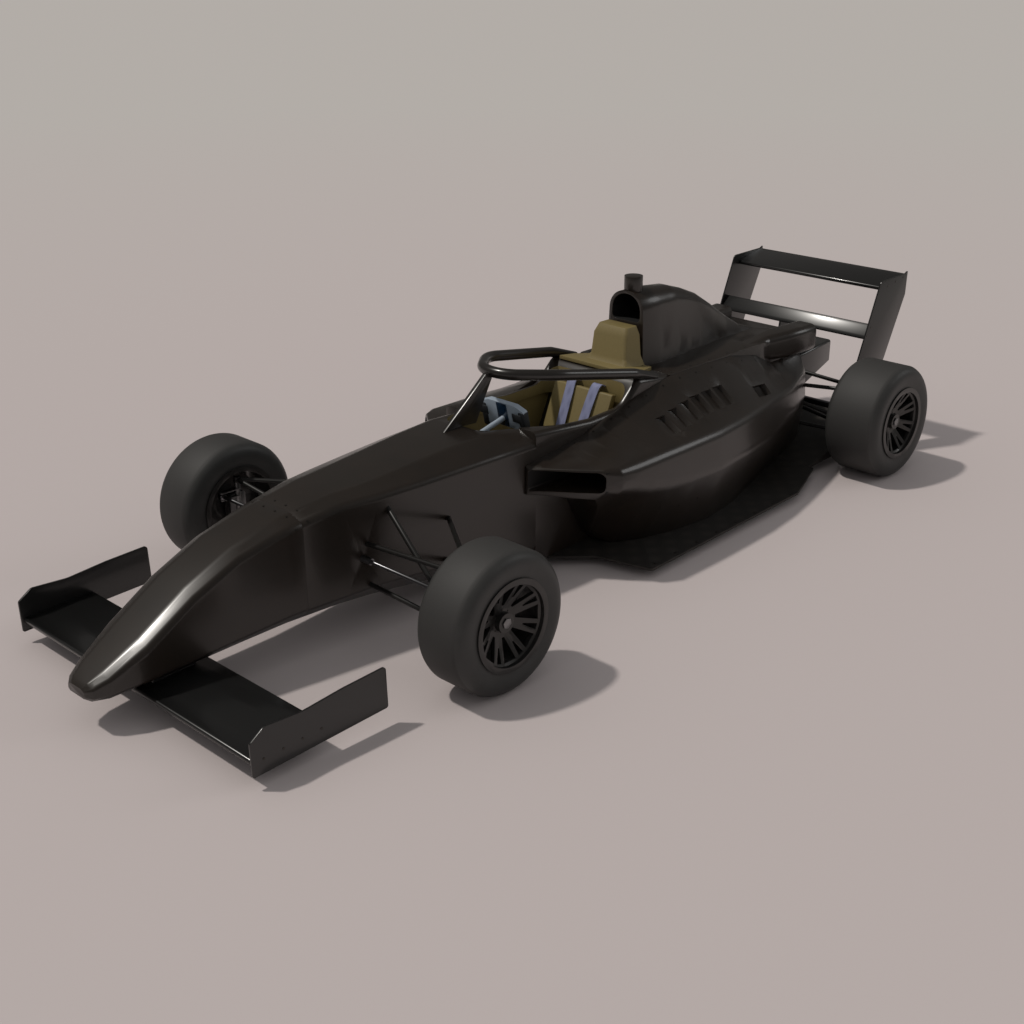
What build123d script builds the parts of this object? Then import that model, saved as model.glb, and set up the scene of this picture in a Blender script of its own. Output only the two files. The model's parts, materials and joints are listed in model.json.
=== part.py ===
"""Open wheel single seat racing car, built as an assembly of separate sub-parts.

All sizes are millimetres. The car is drawn with its origin on the ground under the front axle,
X to the car's left, Y towards the tail and Z up, and each node is moved at the end so that the
origin lies on the ground under the middle of the overall length.
"""

from build123d import *
import math
import os

# Overall places along the car
FRONT_OVERHANG = 1215.0
WHEELBASE = 2925.0
REAR_OVERHANG = 568.0
FRONT_WIDTH = 1850.0
REAR_WIDTH = 1640.0
TAIL_Y = WHEELBASE + REAR_OVERHANG
ROW_ORIGIN_Y = (TAIL_Y - FRONT_OVERHANG) / 2

# Clearances
SEAM = 0.3
RUNNING_GAP = 0.05
MOVING_GAP = 8.0

# Tyres and rims
FRONT_TYRE_R = 280.0
FRONT_TYRE_W = 236.0
REAR_TYRE_R = 285.0
REAR_TYRE_W = 290.0
SHOULDER_R = 42.0
SIDEWALL_BULGE = 7.0
BEAD_R = 165.0
FLANGE_R = 181.0
FLANGE_T = 6.0
RIM_WALL = 7.0
TYRE_FLATS = 72
HUB_R = 52.0
HUB_FACE_DEPTH = 62.0
HUB_WALL = 14.0
HUB_LENGTH = 96.0
SPOKES = 8
SPOKE_T = 16.0
FRONT_SPINDLE_R = 24.0
REAR_SPINDLE_R = 32.0
NUT_R = 38.0
NUT_LENGTH = 24.0
DISC_R = 134.0
DISC_T = 24.0

# Front suspension and steering
KINGPIN_INSET = 213.0
KINGPIN_X = FRONT_WIDTH / 2 - KINGPIN_INSET
KINGPIN_R = 13.0
STEER_ARM = 80.0
RACK_Z = 345.0
RACK_R = 14.0
TRACK_ROD_R = 8.0
ROD_EYE_R = 18.0
ROD_EYE_HOLE_R = 12.0
ROD_EYE_T = 19.0
ROD_SHOULDER_X = 250.0
ARM_PIN_R = 5.0
ARM_PLATE_T = 6.0
ARM_PLATE_W = 26.0
ARM_FORK_GAP = 26.0
UPRIGHT_W = 44.0
UPRIGHT_L = 80.0
UPRIGHT_H = 120.0
BALL_R = 16.0
BALL_H = 26.0
FRONT_UPPER_Z = 402.0
FRONT_LOWER_Z = 168.0
LEG_R = 10.0
LINK_BALL_R = 13.0
LINK_EYE_H = 23.0

# Steering column and wheel
COLUMN_R = 12.0
COLUMN_TOP_Y = 905.0
COLUMN_TOP_Z = 622.0
COLUMN_FOOT_Y = 150.0
COLUMN_FOOT_Z = 440.0
COLUMN_LUG_Y = 560.0
COLUMN_LUG_W = 60.0
COLUMN_LUG_L = 30.0
HAND_WHEEL_W = 256.0
HAND_WHEEL_H = 150.0
HAND_WHEEL_T = 26.0

# Rear suspension and driveline
REAR_UPPER_Z = 405.0
REAR_LOWER_Z = 172.0
# The front feet stand just behind the pods' tails, which the legs pass
REAR_FRONT_FEET_Y = 2776.0
DRIVESHAFT_R = 17.0
DRIVESHAFT_GAP = 6.0
GEARBOX_HALF = 120.0
GEARBOX_START_Y = 2290.0
GEARBOX_END_Y = 3080.0
CRASH_HALF = 78.0
ENGINE_W = 360.0
ENGINE_H = 430.0

# Floor
FLOOR_BOTTOM_Z = 40.0
FLOOR_T = 12.0
FLOOR_TOP_Z = FLOOR_BOTTOM_Z + FLOOR_T
FLOOR_FRONT_Y = 900.0
FLOOR_SPLIT_Y = 2620.0
FLOOR_HALF = 680.0
PLANK_T = 12.0
PLANK_HALF = 150.0
DIFFUSER_TYRE_GAP = 40.0
DIFFUSER_HALF = REAR_WIDTH / 2 - REAR_TYRE_W - DIFFUSER_TYRE_GAP
BODY_BASE_Z = FLOOR_TOP_Z + SEAM

# Tub and nose
NOSE_SPLIT_Y = -330.0
TUB_SIDE_X = 270.0
TUB_STRAIGHT_Y = 820.0
TUB_END_Y = 1720.0
TUB_WALL = 20.0
FOOTWELL_Y = 110.0
SEATBACK_Y = 1480.0
OPENING_FRONT_Y = 650.0
SILL_LIP = 12.0
PAD_T = 17.0
SILL_EDGE_R = 26.0

# Wings
FRONT_WING_HALF = 741.0
ENDPLATE_T = 8.0
FRONT_WING_T = 24.0
REAR_WING_HALF = 460.0
REAR_WING_T = 28.0
BEAM_WING_T = 16.0
PYLON_X = 66.0
PYLON_T = 10.0

# Bodywork behind the driver
POD_INNER_X = TUB_SIDE_X + SEAM
COVER_START_Y = TUB_END_Y + SEAM
COVER_WALL = 12.0
DECK_Z = 690.0
COVER_TAIL_Y = 2870.0
SPINE_TOP_Z = 1034.0
POD_Y = 1768.0
POD_R = 43.0
POD_TOP_Z = 1098.0
OUTLET_BASE_Z = 575.0
OUTLET_END_Y = 2856.0
OUTLET_WALL = 8.0
INLET_LOW_Z = 404.0
INLET_HIGH_Z = 497.0
INLET_OUTER_X = 548.0
INLET_R = 34.0
INLET_START_Y = 690.0
INLET_END_Y = 1190.0
LOUVRES = 6
LOUVRE_START_Y = 1470.0
LOUVRE_STEP = 94.0
LOUVRE_LENGTH = 74.0
LOUVRE_PITCH = 17.0
LOUVRE_LIFT = 40.0
REAR_VENT_Y = 2250.0
REAR_VENT_LENGTH = 130.0

# Halo
HALO_TUBE_R = 24.0


def car_ring(y, corners, radii):
    """A closed section across the car at y, from (x, z) corners with a radius at each."""
    points = [Vector(x, y, z) for x, z in corners]
    return Face(FilletPolyline(*points, radius=radii, close=True).wire())


def whole_ring(y, right, radii):
    """A section that is the same on both sides, from the corners of its left half."""
    corners = right + [(-x, z) for x, z in reversed(right)]
    return car_ring(y, corners, radii + list(reversed(radii)))


def tube(start, end, radius):
    """A round bar between two points."""
    line = Vector(*end) - Vector(*start)
    plane = Plane(origin=Vector(*start), z_dir=line)
    return plane * Cylinder(radius, line.length, align=(Align.CENTER, Align.CENTER, Align.MIN))


def block(x0, x1, y0, y1, z0, z1):
    """A box between two corners."""
    centre = ((x0 + x1) / 2, (y0 + y1) / 2, (z0 + z1) / 2)
    return Pos(*centre) * Box(x1 - x0, y1 - y0, z1 - z0)


def side_plate(outline, x0, x1):
    """A plate across x0 to x1 from a side view outline of (y, z, corner radius)."""
    points = [Vector(x0, y, z) for y, z, _ in outline]
    wire = FilletPolyline(*points, radius=[r for _, _, r in outline], close=True).wire()
    return extrude(Face(wire), amount=x1 - x0, dir=(1, 0, 0))


def plan_plate(outline, z0, z1):
    """A plate from z0 to z1 from a plan outline of (x, y, corner radius)."""
    points = [Vector(x, y, z0) for x, y, _ in outline]
    wire = FilletPolyline(*points, radius=[r for _, _, r in outline], close=True).wire()
    return extrude(Face(wire), amount=z1 - z0, dir=(0, 0, 1))


def symmetric_plan(left):
    """A whole plan outline from the corners of its left half, front to back."""
    return left + [(-x, y, r) for x, y, r in reversed(left)]


def wing_section(y_lead, z_lead, y_trail, z_trail, thickness, x):
    """A wing profile in the side view that pushes down, from its leading to its trailing edge."""
    lead = Vector(x, y_lead, z_lead)
    chord = Vector(x, y_trail, z_trail) - lead
    up = Vector(0, -chord.Z, chord.Y).normalized()
    nose_top = lead + chord * 0.05 + up * (thickness * 0.4)
    nose_low = lead + chord * 0.05 - up * (thickness * 0.4)
    tail_top = lead + chord + up * 1.5
    tail_low = lead + chord - up * 1.5
    edges = [
        ThreePointArc(nose_top, lead, nose_low),
        ThreePointArc(nose_low, lead + chord * 0.4 - up * (thickness * 0.62), tail_low),
        Line(tail_low, tail_top),
        ThreePointArc(tail_top, lead + chord * 0.45 + up * (thickness * 0.38), nose_top),
    ]
    return Face(Wire(edges))


def spun(profile, y, z):
    """Turn a straight sided (x, r) profile about an axle along x at y and z."""
    points = [Vector(x, 0, r) for x, r in profile]
    wire = Polyline(*points, close=True).wire()
    return Pos(0, y, z) * revolve(Face(wire), axis=Axis.X)


def right_of(solid):
    """The same piece on the car's right."""
    return mirror(solid, about=Plane.YZ)


def turned_to_right(solid, y):
    """A wheel piece turned half round to the car's right, about the vertical at y."""
    return Pos(0, 2 * y, 0) * Rot(0, 0, 180) * solid


def largest(shape):
    """The main solid of a cut shape, without offcuts."""
    return max(shape.solids(), key=lambda solid: solid.volume)


def polar(r, degrees):
    """A point on a circle about an axle, as offsets along the car and up."""
    turn = math.radians(degrees)
    return r * math.cos(turn), r * math.sin(turn)


class Corner:
    """One left wheel's place and size, which its tyre, rim and upright share."""

    def __init__(self, y, radius, width, outer_x, spindle_r):
        self.y = y
        self.z = radius
        self.radius = radius
        self.width = width
        self.half = width / 2
        self.mid = outer_x - self.half
        self.hub_face = outer_x - HUB_FACE_DEPTH
        self.hub_root = self.hub_face - HUB_LENGTH
        self.upright_face = self.hub_root - MOVING_GAP
        self.upright_back = self.upright_face - UPRIGHT_W
        self.spindle_r = spindle_r


FRONT = Corner(0.0, FRONT_TYRE_R, FRONT_TYRE_W, FRONT_WIDTH / 2, FRONT_SPINDLE_R)
REAR = Corner(WHEELBASE, REAR_TYRE_R, REAR_TYRE_W, REAR_WIDTH / 2, REAR_SPINDLE_R)


def ring_of_flats(c, profile, flats):
    """Carry a closed (distance from the middle, r) profile round a corner's axle in flat facets."""
    turns = [2 * math.pi * index / flats for index in range(flats + 1)]
    faces = []
    for (x1, r1), (x2, r2) in zip(profile, profile[1:] + profile[:1]):
        for a, b in zip(turns, turns[1:]):
            corners = [(x1, r1, a), (x2, r2, a), (x2, r2, b), (x1, r1, b)]
            faces.append(Face(Wire.make_polygon([
                Vector(c.mid + x, c.y + r * math.sin(t), c.z + r * math.cos(t)) for x, r, t in corners])))
    return Solid(Shell(faces))


def tyre(c):
    """A slick tyre: leaning side walls, rounded shoulders and a plain tread."""
    bead = c.half - FLANGE_T - SEAM
    bore_r = (BEAD_R + SEAM) / math.cos(math.pi / TYRE_FLATS)
    wall_r = (c.radius + FLANGE_R) / 2
    # Columns: distance from the tyre's middle, radius
    side = [
        (bead, bore_r),
        (bead, FLANGE_R + 2),
        (c.half, wall_r),
        (c.half - SIDEWALL_BULGE, c.radius - SHOULDER_R),
        (c.half - SHOULDER_R, c.radius),
    ]
    return ring_of_flats(c, side + [(-x, r) for x, r in reversed(side)], TYRE_FLATS)


def rim_barrel(c):
    """The rim's barrel with its two flanges."""
    inside_r = BEAD_R - RIM_WALL
    # Columns: distance from the rim's middle, radius
    edge = [
        (c.half, inside_r),
        (c.half, FLANGE_R),
        (c.half - FLANGE_T, FLANGE_R),
        (c.half - FLANGE_T, BEAD_R),
    ]
    profile = [(c.mid + x, r) for x, r in edge] + [(c.mid - x, r) for x, r in reversed(edge)]
    return spun(profile, c.y, c.z)


def rim_spokes(c):
    """A dished wheel face, cut by windows into forked spokes."""
    outer = c.mid + c.half
    face = spun([
        (c.hub_face - SPOKE_T, c.spindle_r + 4),
        (c.hub_face, c.spindle_r + 4),
        (c.hub_face, HUB_R),
        (outer - 16, BEAD_R - RIM_WALL + 2),
        (outer - 16 - SPOKE_T, BEAD_R - RIM_WALL + 2),
        (c.hub_face - SPOKE_T, HUB_R + 12),
    ], c.y, c.z)
    step = 360 / SPOKES
    edge_r = BEAD_R - RIM_WALL - 8
    # Columns: turn, inner radius, half angle there, half angle at the outer radius
    windows = [(0.0, HUB_R + 12, 5.0, 11.5), (step / 2, HUB_R + 44, 1.6, 4.6)]
    for turn, inner_r, inner_half, outer_half in windows:
        points = []
        for r, angle in ((inner_r, turn - inner_half), (edge_r, turn - outer_half),
                         (edge_r, turn + outer_half), (inner_r, turn + inner_half)):
            along, up = polar(r, angle)
            points.append(Vector(c.hub_face - SPOKE_T - 10, c.y + along, c.z + up))
        outline = Face(Polyline(*points, close=True).wire())
        cutter = extrude(outline, amount=HUB_FACE_DEPTH + SPOKE_T + 10, dir=(1, 0, 0))
        axle = Axis((0, c.y, c.z), (1, 0, 0))
        face -= [cutter.rotate(axle, step * index) for index in range(SPOKES)]
    return face


def rim(c):
    """A whole rim with its hub, centre nut and brake disc."""
    bore = c.spindle_r + RUNNING_GAP
    hub = spun([
        (c.hub_root, bore),
        (c.hub_face, bore),
        (c.hub_face, HUB_R - 6),
        (c.hub_face - SPOKE_T - 8, HUB_R - 6),
        (c.hub_face - SPOKE_T - 22, bore + HUB_WALL),
        (c.hub_root + DISC_T + 6, bore + HUB_WALL),
        (c.hub_root + DISC_T, DISC_R),
        (c.hub_root, DISC_R),
    ], c.y, c.z)
    nut = Pos(c.hub_face, c.y, c.z) * Rot(0, 90, 0) * Cylinder(
        NUT_R, NUT_LENGTH, align=(Align.CENTER, Align.CENTER, Align.MIN))
    return rim_barrel(c) + rim_spokes(c) + hub + nut


def spindle(c):
    """The stub axle that a wheel turns on, rooted in the upright."""
    start = (c.upright_back + UPRIGHT_W / 2, c.y, c.z)
    return tube(start, (c.hub_face - 1, c.y, c.z), c.spindle_r)


def front_upright():
    """Left front upright: body, stub axle, kingpin post and forked steering arm."""
    y = UPRIGHT_L / 2
    low = FRONT.z - UPRIGHT_H / 2
    high = FRONT.z + UPRIGHT_H / 2
    body = side_plate([(-y, low, 14), (y, low, 14), (y, high, 14), (-y, high, 14)],
                      FRONT.upright_back, FRONT.upright_face)
    half = BALL_H / 2 + SEAM
    post = tube((KINGPIN_X, 0, FRONT_LOWER_Z + half), (KINGPIN_X, 0, FRONT_UPPER_Z - half), KINGPIN_R)
    plates = []
    for side in (-1, 1):
        near = RACK_Z + side * ARM_FORK_GAP / 2
        far = near + side * ARM_PLATE_T
        half_w = ARM_PLATE_W / 2
        plates.append(plan_plate([
            (KINGPIN_X - half_w, -STEER_ARM - half_w, half_w - 1),
            (KINGPIN_X + half_w, -STEER_ARM - half_w, half_w - 1),
            (KINGPIN_X + half_w, 0, 2), (KINGPIN_X - half_w, 0, 2)],
            min(near, far), max(near, far)))
    reach = ARM_FORK_GAP / 2 + ARM_PLATE_T
    pin = tube((KINGPIN_X, -STEER_ARM, RACK_Z - reach), (KINGPIN_X, -STEER_ARM, RACK_Z + reach),
               ARM_PIN_R)
    return body + post + plates + pin + spindle(FRONT)


def rear_upright():
    """Left rear upright with the stub axle that the wheel turns on."""
    y0 = REAR.y - UPRIGHT_L / 2
    y1 = REAR.y + UPRIGHT_L / 2
    low = REAR_LOWER_Z - 16
    high = REAR_UPPER_Z + 16
    body = side_plate([(y0, low, 20), (y1, low, 20), (y1, high, 20), (y0, high, 20)],
                      REAR.upright_back, REAR.upright_face)
    passage = tube((REAR.upright_back - 1, REAR.y, REAR.z), (REAR.hub_face, REAR.y, REAR.z),
                   DRIVESHAFT_R + DRIVESHAFT_GAP)
    return body + spindle(REAR) - passage


def front_body():
    """The solid outer form from the nose tip back to the straight sided part of the tub."""
    # Columns: y, bottom half width, bottom z, side half width, side z, edge half width,
    # edge z, crown half width, crown z
    rows = [
        (-1215, 44, 142, 54, 150, 52, 168, 30, 176),
        (-1195, 62, 130, 80, 146, 78, 180, 46, 194),
        (-1140, 84, 128, 108, 150, 106, 208, 62, 226),
        (-1000, 98, 136, 140, 165, 138, 286, 78, 308),
        (-800, 104, 142, 144, 175, 141, 408, 80, 432),
        (-600, 108, 148, 148, 185, 144, 496, 84, 522),
        (-400, 112, 152, 160, 200, 156, 545, 88, 572),
        (-150, 130, 152, 190, 205, 186, 582, 104, 604),
        (0, 150, 148, 214, 212, 212, 582, 120, 608),
        (200, 175, 132, 236, 200, 234, 584, 130, 624),
        (420, 200, 110, 254, 180, 252, 588, 140, 642),
        (620, 222, 80, 264, 150, 264, 590, 150, 652),
        (TUB_STRAIGHT_Y, 240, BODY_BASE_Z, TUB_SIDE_X, 130, TUB_SIDE_X, 590, 160, 640),
    ]
    sections = []
    for y, bx, bz, sx, sz, ex, ez, cx, cz in rows:
        scale = min(1.0, (cz - bz) / 150)
        radii = [16 * scale, 24 * scale, 34 * scale, 60 * scale]
        sections.append(whole_ring(y, [(bx, bz), (sx, sz), (ex, ez), (cx, cz)], radii))
    return loft(sections, ruled=True)


def tub_rear():
    """The straight sided part of the tub, its top line dipping along the sill and rising behind."""
    y0 = TUB_STRAIGHT_Y
    profile = side_plate([
        (y0, BODY_BASE_Z, 0),
        (TUB_END_Y, BODY_BASE_Z, 0),
        (TUB_END_Y, 690, 0),
        (1500, 718, 40),
        (1385, 612, 90),
        (1180, 606, 300),
        (y0, 640, 0),
    ], -TUB_SIDE_X, TUB_SIDE_X)
    top = profile.edges().filter_by(lambda e: abs(e.center().X) > TUB_SIDE_X - 1
                                    and e.center().Z > 560)
    return fillet(top, SILL_EDGE_R)


def column_direction():
    """The steering column's run from its foot to the hand wheel."""
    foot = Vector(0, COLUMN_FOOT_Y, COLUMN_FOOT_Z)
    top = Vector(0, COLUMN_TOP_Y, COLUMN_TOP_Z)
    return foot, top, (top - foot).normalized()


def monocoque(outer):
    """The tub: hollow for the driver, with its opening, rack passage and column lug."""
    front = outer & block(-400, 400, NOSE_SPLIT_Y, TUB_STRAIGHT_Y, 0, 900)
    tub = front + tub_rear()
    wall = TUB_WALL
    # Columns: y, floor half width, floor z, side half width, roof z
    rows = [
        (FOOTWELL_Y, 150, 180, 196, 550),
        (420, 176, 140, 226, 572),
        (620, 196, 112, 238, 578),
        (TUB_STRAIGHT_Y, 215, BODY_BASE_Z + wall, TUB_SIDE_X - wall, 580),
    ]
    sections = []
    for y, fx, fz, sx, rz in rows:
        sections.append(whole_ring(y, [(fx, fz), (sx, fz + 60), (sx, rz - 20), (fx - 40, rz)],
                                   [15, 30, 25, 30]))
    cavity = loft(sections, ruled=True)
    inner = TUB_SIDE_X - wall
    cavity += side_plate([
        (TUB_STRAIGHT_Y, BODY_BASE_Z + wall, 0),
        (SEATBACK_Y - 230, BODY_BASE_Z + wall, 40),
        (SEATBACK_Y, 560, 0),
        (TUB_STRAIGHT_Y, 560, 0)], -inner, inner)
    sill = inner - SILL_LIP
    opening = plan_plate(symmetric_plan([
        (110, OPENING_FRONT_Y, 80), (sill, 1000, 180), (sill, SEATBACK_Y - 8, 60)]), 540, 800)
    foot, top, along = column_direction()
    lug_z = COLUMN_FOOT_Z + (COLUMN_LUG_Y - COLUMN_FOOT_Y) * along.Z / along.Y
    lug = block(-COLUMN_LUG_W / 2, COLUMN_LUG_W / 2, COLUMN_LUG_Y - COLUMN_LUG_L / 2,
                COLUMN_LUG_Y + COLUMN_LUG_L / 2, lug_z - COLUMN_LUG_W / 2, 600)
    bore = tube(tuple(foot), tuple(top), COLUMN_R + RUNNING_GAP)
    passage = tube((-400, -STEER_ARM, RACK_Z), (400, -STEER_ARM, RACK_Z), RACK_R + RUNNING_GAP)
    return tub - cavity - opening + lug - bore - passage


def steering_rack():
    """Rack bar through the tub with a track rod and an open eye at each end."""
    reach = KINGPIN_X - ROD_EYE_R + 4
    bar = tube((-ROD_SHOULDER_X, -STEER_ARM, RACK_Z), (ROD_SHOULDER_X, -STEER_ARM, RACK_Z), RACK_R)
    for side in (-1, 1):
        bar += tube((side * ROD_SHOULDER_X, -STEER_ARM, RACK_Z), (side * reach, -STEER_ARM, RACK_Z),
                    TRACK_ROD_R)
        eye = Pos(side * KINGPIN_X, -STEER_ARM, RACK_Z) * Cylinder(ROD_EYE_R, ROD_EYE_T)
        bar += eye
    for side in (-1, 1):
        bar -= Pos(side * KINGPIN_X, -STEER_ARM, RACK_Z) * Cylinder(ROD_EYE_HOLE_R, ROD_EYE_T * 2)
    return bar



def steering_wheel():
    """Column with its hand wheel: a flat bottomed body between two grips."""
    foot, top, along = column_direction()
    shaft = tube(tuple(foot), tuple(top), COLUMN_R)
    plane = Plane(origin=top, x_dir=(1, 0, 0), z_dir=along)
    w = HAND_WHEEL_W / 2
    h = HAND_WHEEL_H / 2
    outline = FilletPolyline(
        (-w, -h + 20), (-w + 50, -h), (w - 50, -h), (w, -h + 20),
        (w, h - 16), (w - 46, h), (w - 70, h - 34), (-w + 70, h - 34), (-w + 46, h), (-w, h - 16),
        radius=12, close=True)
    body = extrude(plane * Face(outline.wire()), amount=HAND_WHEEL_T, dir=along)
    return shaft + body


def leg_set(joint, feet, radius, root):
    """Suspension legs from one outer joint housing to feet that end on the root solid."""
    x, y, z = joint
    housing = Pos(x, y, z) * Cylinder(BALL_R, BALL_H)
    legs = housing
    for foot in feet:
        legs += tube((x, y, z), foot, radius)
    return legs - root


def front_arms(tub):
    """Left front wishbones and pushrod."""
    upper = leg_set((KINGPIN_X, 0, FRONT_UPPER_Z),
                    [(150, -66, 400), (150, 400, 400)], LEG_R, tub)
    lower = leg_set((KINGPIN_X, 0, FRONT_LOWER_Z),
                    [(120, -60, 235), (150, 380, 235)], LEG_R, tub)
    push = tube((KINGPIN_X - 60, -6, FRONT_LOWER_Z + 7), (150, 50, 570), LEG_R + 1) - tub
    return upper + lower + push


def rear_arms():
    """Left rear wishbones, toe link and pushrod, between the gearbox and the upright."""
    outer_x = REAR.upright_back - LINK_BALL_R - SEAM
    inner_x = GEARBOX_HALF + LINK_BALL_R + SEAM
    y = REAR.y
    # Columns: outer y, outer z, inner y, inner z
    links = [
        (y - 14, REAR_UPPER_Z, REAR_FRONT_FEET_Y, 390),
        (y + 18, REAR_UPPER_Z, 3040, 390),
        (y - 14, REAR_LOWER_Z, REAR_FRONT_FEET_Y, 200),
        (y + 18, REAR_LOWER_Z, 3040, 200),
        (y - 20, REAR_LOWER_Z + 50, REAR_FRONT_FEET_Y, 345),
    ]
    arms = []
    for y1, z1, y2, z2 in links:
        link = tube((outer_x, y1, z1), (inner_x, y2, z2), LEG_R)
        link += Pos(outer_x, y1, z1) * Cylinder(LINK_BALL_R, LINK_EYE_H)
        link += Pos(inner_x, y2, z2) * Cylinder(LINK_BALL_R, LINK_EYE_H)
        arms.append(link)
    return Compound(children=arms)


def gearbox():
    """The gearbox case, narrowing to the rear."""
    rows = [
        (GEARBOX_START_Y, 170, 100, 470),
        (2600, GEARBOX_HALF, 120, 440),
        (GEARBOX_END_Y, GEARBOX_HALF, 150, 455),
    ]
    sections = []
    for y, half, low, high in rows:
        sections.append(whole_ring(y, [(half * 0.8, low), (half, low + 40), (half, high - 30),
                                       (half * 0.7, high)], [10, 14, 14, 14]))
    return loft(sections, ruled=True)


def driveshaft():
    """Left driveshaft, turning with the wheel, from by the gearbox through the upright."""
    return tube((GEARBOX_HALF + MOVING_GAP, REAR.y, REAR.z), (REAR.hub_face - SEAM, REAR.y, REAR.z),
                DRIVESHAFT_R)


def crash_structure():
    """The box behind the gearbox that carries the rear wing and the rain light."""
    rows = [
        (GEARBOX_END_Y + SEAM, 92, 240, 452),
        (3425, CRASH_HALF, 345, 470),
    ]
    sections = []
    for y, half, low, high in rows:
        sections.append(whole_ring(y, [(half, low), (half, high)], [14, 14]))
    return loft(sections, ruled=True)


def spine(rise=0.0):
    """The engine cover's spine, from the air intake's arch down to the deck."""
    # Columns: y, foot half width, crown half width, crown z
    rows = [
        (COVER_START_Y, 112, 96, SPINE_TOP_Z),
        (1850, 112, 95, SPINE_TOP_Z - 1),
        (1990, 108, 84, 1019),
        (2100, 102, 70, 986),
        (2210, 96, 57, 943),
        (2340, 88, 43, 868),
        (2467, 80, 32, 788),
        (2600, 70, 25, 712),
        (2760, 58, 20, 660),
    ]
    sections = [whole_ring(y, [(foot, DECK_Z - 70), (crown, z + rise)], [4, crown * 0.93])
                for y, foot, crown, z in rows]
    return loft(sections, ruled=True)


def air_intake():
    """The space inside the arched air intake, narrowing as it goes back."""
    # Columns: y, half width, floor z, crown z
    rows = [(COVER_START_Y - 20, 84, 896, SPINE_TOP_Z - 11), (1900, 62, 902, 1000)]
    sections = [whole_ring(y, [(half, low), (half, high)], [24, half * 0.93]) for y, half, low, high in rows]
    return loft(sections, ruled=True)


def deck_outlet():
    """The left outlet that leaves the deck's shoulder at the tail, as a hollow nozzle."""
    # Columns: y, inner x, outer x, bottom z, top z
    rows = [
        (2330, 150, 262, 600, 682),
        (2540, 166, 266, OUTLET_BASE_Z, 700),
        (2640, 176, 314, OUTLET_BASE_Z, 714),
        (OUTLET_END_Y, 196, 326, OUTLET_BASE_Z + 4, 714),
    ]
    shell = []
    space = []
    for y, x0, x1, z0, z1 in rows:
        shell.append(car_ring(y, [(x0, z0), (x1, z0), (x1, z1), (x0, z1)], [30, 34, 38, 30]))
    for y, x0, x1, z0, z1 in rows[2:]:
        rear = y + (10 if y == OUTLET_END_Y else 0)
        w = OUTLET_WALL
        space.append(car_ring(rear, [(x0 + w, z0 + w), (x1 - w, z0 + w), (x1 - w, z1 - w), (x0 + w, z1 - w)],
                              [22, 26, 30, 22]))
    return loft(shell, ruled=True), loft(space, ruled=True)


def engine_cover():
    """Engine cover: a flat shouldered deck that ends in an outlet, with the spine on it."""
    deck_profile = side_plate([
        (COVER_START_Y, BODY_BASE_Z, 0),
        (2420, BODY_BASE_Z, 60),
        (2620, 420, 120),
        (COVER_TAIL_Y, 520, 0),
        (COVER_TAIL_Y, 655, 0),
        (2400, 688, 900),
        (COVER_START_Y, DECK_Z, 0),
    ], -TUB_SIDE_X, TUB_SIDE_X)
    plan = plan_plate(symmetric_plan([
        (TUB_SIDE_X + 2, COVER_START_Y - 10, 0), (TUB_SIDE_X + 2, 2440, 700), (205, COVER_TAIL_Y + 10, 0),
    ]), 0, 1200)
    deck = deck_profile & plan
    whole = deck + spine()
    outlet, outlet_space = deck_outlet()
    for piece in (outlet, right_of(outlet)):
        whole += piece
    hollow = block(-TUB_SIDE_X + COVER_WALL, TUB_SIDE_X - COVER_WALL, TUB_END_Y - 10, GEARBOX_START_Y,
                   0, DECK_Z - COVER_WALL)
    hollow += block(-190, 190, GEARBOX_START_Y - 10, COVER_TAIL_Y + 50, 0, 600)
    return largest(whole - hollow - air_intake() - outlet_space - right_of(outlet_space))


def between(rows, y):
    """The row of a section table at y, by straight lines between its neighbours."""
    for low, high in zip(rows, rows[1:]):
        if low[0] <= y <= high[0]:
            share = (y - low[0]) / (high[0] - low[0])
            return [a + (b - a) * share for a, b in zip(low, high)]
    raise ValueError(y)


# Columns: y, bottom z, bottom outer x, widest x, widest z, shoulder x, shoulder z, top z at the tub,
# share of the full corner rounding
POD_ROWS = [
    (756, 384, 279, 291, 440, 287, 498, 512, 0.05),
    (800, 382, 330, 352, 436, 346, 504, 516, 0.2),
    (880, 372, 430, 468, 430, 458, 507, 524, 0.3),
    (950, 362, 490, 556, 424, 544, 508, 532, 0.4),
    (1010, 300, 455, 594, 414, 578, 508, 542, 0.7),
    (1110, 120, 330, 600, 398, 582, 508, 558, 1.0),
    (1210, 30, 366, 602, 376, 584, 504, 582, 1.0),
    (1340, 30, 436, 602, 352, 584, 498, 616, 1.0),
    (1500, 30, 486, 600, 338, 580, 490, 652, 1.0),
    (1720, 30, 512, 595, 332, 572, 482, 687, 1.0),
    (1960, 30, 480, 566, 330, 543, 478, 686, 1.0),
    (2190, 30, 412, 520, 330, 494, 472, 682, 1.0),
    (2400, 30, 352, 470, 332, 442, 466, 640, 1.0),
    (2540, 40, 322, 436, 336, 404, 468, 573, 0.9),
    (2620, 60, 308, 408, 340, 380, 470, 572, 0.8),
    (2800, 110, 296, 326, 352, 314, 480, 570, 0.2),
]
POD_RADII = [0, 46, 110, 64, 0]


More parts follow.
